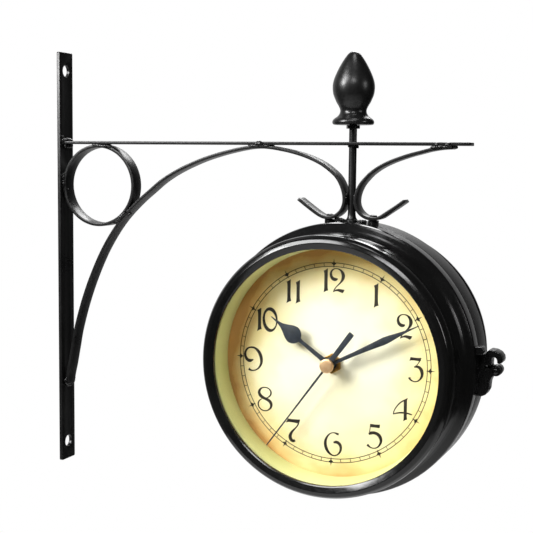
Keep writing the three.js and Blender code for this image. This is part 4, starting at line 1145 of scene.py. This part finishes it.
def clock_side(prefix, M, body, seam):
    def put(name, part, material, node=None, slot=None, angle=32, b=body, extra=None):
        return finish_mesh(f"{prefix}_{name}", *part, material, b, f"{prefix}_{node}" if node else (), slot, angle, matrix=M if extra is None else M @ extra)

    put("shell_spun", lathe_data(shell_profile(seam), 224, True), M_CASE, "case_shell", "case_black", 30)
    put("bezel_rolled", lathe_data(fillet(BEZEL, 7), 224, True), M_BEZEL, "bezel_ring", "bezel_black", 30)
    put("lens_disc", lathe_data([(0, 54.5), (89.5, 54.5), (89.9, 54.8), (89.9, 56.2), (89.5, 56.5), (0, 56.5)], 192, False), M_GLASS, "glass_lens", "glass", 30)
    wall = [(86.55, 34.75, 0.15), (87.3, 44, 40), (88.15, 54.1, 0.3), (89.4, 54.2, 0.3), (88.6, 44, 40), (87.75, 34.75, 0.15)]
    put("inner_wall_ring", lathe_data(fillet(wall, 4), 224, True), M_WALL, "spacer_ring", "inner_wall")

    # dial sheet, as rings so that its map is clean
    rings = [4.5, 12, 24, 36, 48, 60, 72, 80, 86, 87.9]
    v, f = lathe_data([(rings[0], 33.6)] + [(r, 34.6) for r in rings] + [(88.0, 34.5), (88.0, 33.6)], 160, True)
    obj = put("dial_sheet", (v, f), M_DIAL, "dial", "dial_paper")
    uv = obj.data.uv_layers.new(name="dial")
    Minv = M.inverted()
    for loop in obj.data.loops:
        p = Minv @ (obj.data.vertices[loop.vertex_index].co / MM)
        uv.data[loop.index].uv = (0.5 + p.x / 176.0, 0.5 + p.y / 176.0)
    put("dial_numbers", dial_print(34.602), M_INK, slot="dial_paper")

    nut = plate_data(fillet([(p[0], p[1], 0.5) for p in circle(7.8, 6, start=math.pi / 6)], 3), [circle(4.05, 40)], 34.9, 37.2, 0.35, 2)
    put("centre_nut", nut, M_BRASS, "hex_nut", "brass")
    turn = lambda deg: Matrix.Rotation(-math.radians(deg), 4, "Z")
    put("hour_hand_blade", hand_part(HOUR, 41.6, 42.1, 2.52), M_HAND, "hour_hand", "hand_slate", b=prefix + "_hour", extra=turn(305.3))
    put("minute_hand_blade", hand_part(MINUTE, 43.8, 44.3, 1.52), M_HAND, "minute_hand", "hand_slate", b=prefix + "_minute", extra=turn(63.6))
    put("second_hand_blade", hand_part(SECOND, 45.9, 46.3, 0.55), M_HAND, "second_hand", "hand_slate", b=prefix + "_second", extra=turn(216.5))
    cap = [(0, 46.6), (4.9, 46.6), (5.2, 46.75), (5.3, 47.1), (5.3, 48.7), (5.2, 49.05), (4.9, 49.3), (4.3, 49.42), (0, 49.5)]
    put("second_hand_cap", lathe_data(cap, 72, False), M_CAP, "hand_cap", "brass", b=prefix + "_second")

    # movement: rounded edges from the CAD's own faces, and turned parts with smooth sides
    refined(f"{prefix}_movement_case", f"{prefix}_movement_housing", M_MOVE, body, 0.35, 2)
    refined(f"{prefix}_movement_lid", f"{prefix}_movement_cover", M_MOVE, body, 0.25, 2)
    refined(f"{prefix}_contact_strip", f"{prefix}_contact_spring", M_STEEL, body, 0.08, 2)
    refined(f"{prefix}_coil_winding", f"{prefix}_coil_and_stator", M_COIL, body, 0.12, 2)
    refined(f"{prefix}_minute_pinion", f"{prefix}_minute_wheel", M_BRASS, prefix + "_minute", 0.06, 1)
    refined(f"{prefix}_motion_gear", f"{prefix}_motion_wheel", M_GEAR, prefix + "_motion", 0.06, 1)
    refined(f"{prefix}_hour_gear", f"{prefix}_hour_wheel", M_GEAR, prefix + "_hour", 0.06, 1)
    refined(f"{prefix}_second_gear", f"{prefix}_second_wheel", M_GEAR, prefix + "_second", 0.06, 1)
    refined(f"{prefix}_set_wheel", f"{prefix}_set_knob", M_GEAR, prefix + "_knob", 0.15, 2)
    cell = [(0, -25), (5.8, -25), (6.6, -24.95), (7.05, -24.7), (7.15, -24.2), (7.15, 22.9), (7.0, 23.4), (6.6, 23.7), (3.1, 23.75), (2.75, 24.0), (2.75, 24.9), (2.5, 25.2), (0, 25.2)]
    put("battery_sleeve", lathe_data(cell, 56, False), M_CELL, "battery_cell", "cell_wrap", extra=Matrix.Translation((0, -19, 24.9)) @ Matrix.Rotation(math.radians(90), 4, "Y"))


FRONT = Matrix(((1, 0, 0, XH), (0, 0, -1, 0), (0, 1, 0, ZC), (0, 0, 0, 1)))
REAR = Matrix(((-1, 0, 0, XH), (0, 0, 1, 0), (0, 1, 0, ZC), (0, 0, 0, 1)))
clock_side("front", FRONT, "door", 7.15)
clock_side("rear", REAR, "root", -6.85)

# ------------------------------------------------------------------ floor, light, camera
ROOM = 0.03


def pale(name, col):
    m = Mat(name)
    n = m.noise(3.0, 3, 0.5)
    m.set(Base_Color=m.ramp(n, [(0.3, grey(col - 0.01)), (0.7, grey(col + 0.01))]), Roughness=0.8, Specular_IOR_Level=0.1)
    return m.m


ring = [(0.26 + 1.1 * math.cos(math.radians(a)), 1.1 * math.sin(math.radians(a)), -0.9) for a in range(0, 360, 5)]
mesh = bpy.data.meshes.new("studio_floor")
mesh.from_pydata(ring, [], [tuple(range(len(ring)))])
floor = bpy.data.objects.new("studio_floor", mesh)
mesh.materials.append(pale("pale_floor", 0.80))
scene.collection.objects.link(floor)

# White backdrop for the camera, a dim room for everything else, brighter behind the object.
world = bpy.data.worlds.new("studio")
scene.world = world
world.use_nodes = True
wt = world.node_tree
wt.nodes.clear()
w_out = wt.nodes.new("ShaderNodeOutputWorld")
w_cam = wt.nodes.new("ShaderNodeBackground")
w_cam.inputs[0].default_value = (1, 1, 1, 1)
w_room = wt.nodes.new("ShaderNodeBackground")
w_path = wt.nodes.new("ShaderNodeLightPath")
w_mix = wt.nodes.new("ShaderNodeMixShader")
w_tc = wt.nodes.new("ShaderNodeTexCoord")
w_dot = wt.nodes.new("ShaderNodeVectorMath")
w_dot.operation = "DOT_PRODUCT"
w_dot.inputs[1].default_value = (-0.62, 0.78, 0.0)
w_ramp = wt.nodes.new("ShaderNodeValToRGB")
cr = w_ramp.color_ramp
cr.interpolation = "EASE"
cr.elements[0].position = 0.72
cr.elements[0].color = grey(ROOM)
cr.elements[1].position = 0.95
cr.elements[1].color = grey(0.6)
w_map = wt.nodes.new("ShaderNodeMapRange")
w_map.inputs["From Min"].default_value = -1.0
wt.links.new(w_tc.outputs["Generated"], w_dot.inputs[0])
wt.links.new(w_dot.outputs["Value"], w_map.inputs["Value"])
wt.links.new(w_map.outputs[0], w_ramp.inputs[0])
wt.links.new(w_ramp.outputs[0], w_room.inputs[0])
wt.links.new(w_path.outputs["Is Camera Ray"], w_mix.inputs[0])
wt.links.new(w_room.outputs[0], w_mix.inputs[1])
wt.links.new(w_cam.outputs[0], w_mix.inputs[2])
wt.links.new(w_mix.outputs[0], w_out.inputs[0])


def area(name, direction, distance, size, power, target=(0.2597, 0.0, -0.10), shape="RECTANGLE"):
    light = bpy.data.lights.new(name, "AREA")
    light.shape = shape
    light.size, light.size_y = size
    light.energy = power
    obj = bpy.data.objects.new(name, light)
    scene.collection.objects.link(obj)
    T = Vector(target)
    d = Vector(direction).normalized()
    obj.location = T + d * distance
    obj.rotation_euler = d.to_track_quat("Z", "Y").to_euler()
    return obj


area("key_left", (-0.60, -0.68, 0.42), 1.4, (0.5, 0.5), 25)
area("front_fill", (0.25, -0.86, 0.62), 1.6, (0.5, 0.3), 7)
area("side_right", (0.99, -0.11, 0.30), 1.4, (0.25, 0.40), 3)
area("bevel_soft", (-0.42, -0.62, 0.66), 1.5, (0.75, 0.28), 12)
area("back_soft", (-0.15, 0.72, 0.68), 1.9, (0.9, 0.9), 24)
area("top_soft", (0.10, -0.15, 1.0), 1.4, (0.4, 0.4), 4)

cam_data = bpy.data.cameras.new("camera")
cam = bpy.data.objects.new("camera", cam_data)
scene.collection.objects.link(cam)
scene.camera = cam
az, el, ro = (math.radians(a) for a in (22.754, 5.397, 0.552))
back = Vector((math.sin(az) * math.cos(el), -math.cos(az) * math.cos(el), math.sin(el)))
right = Vector((math.cos(az), math.sin(az), 0))
up = back.cross(right)
r2 = math.cos(ro) * right + math.sin(ro) * up
u2 = -math.sin(ro) * right + math.cos(ro) * up
cam.matrix_world = Matrix(((r2.x, u2.x, back.x, 0.54073), (r2.y, u2.y, back.y, -0.83890), (r2.z, u2.z, back.z, -0.01053), (0, 0, 0, 1)))
cam_data.sensor_width = 36.0
cam_data.sensor_fit = "HORIZONTAL"
cam_data.lens = 1144.52 / 533 * 36.0
cam_data.clip_start = 0.01
cam_data.clip_end = 60

scene.view_settings.view_transform = "Standard"
scene.view_settings.look = "None"
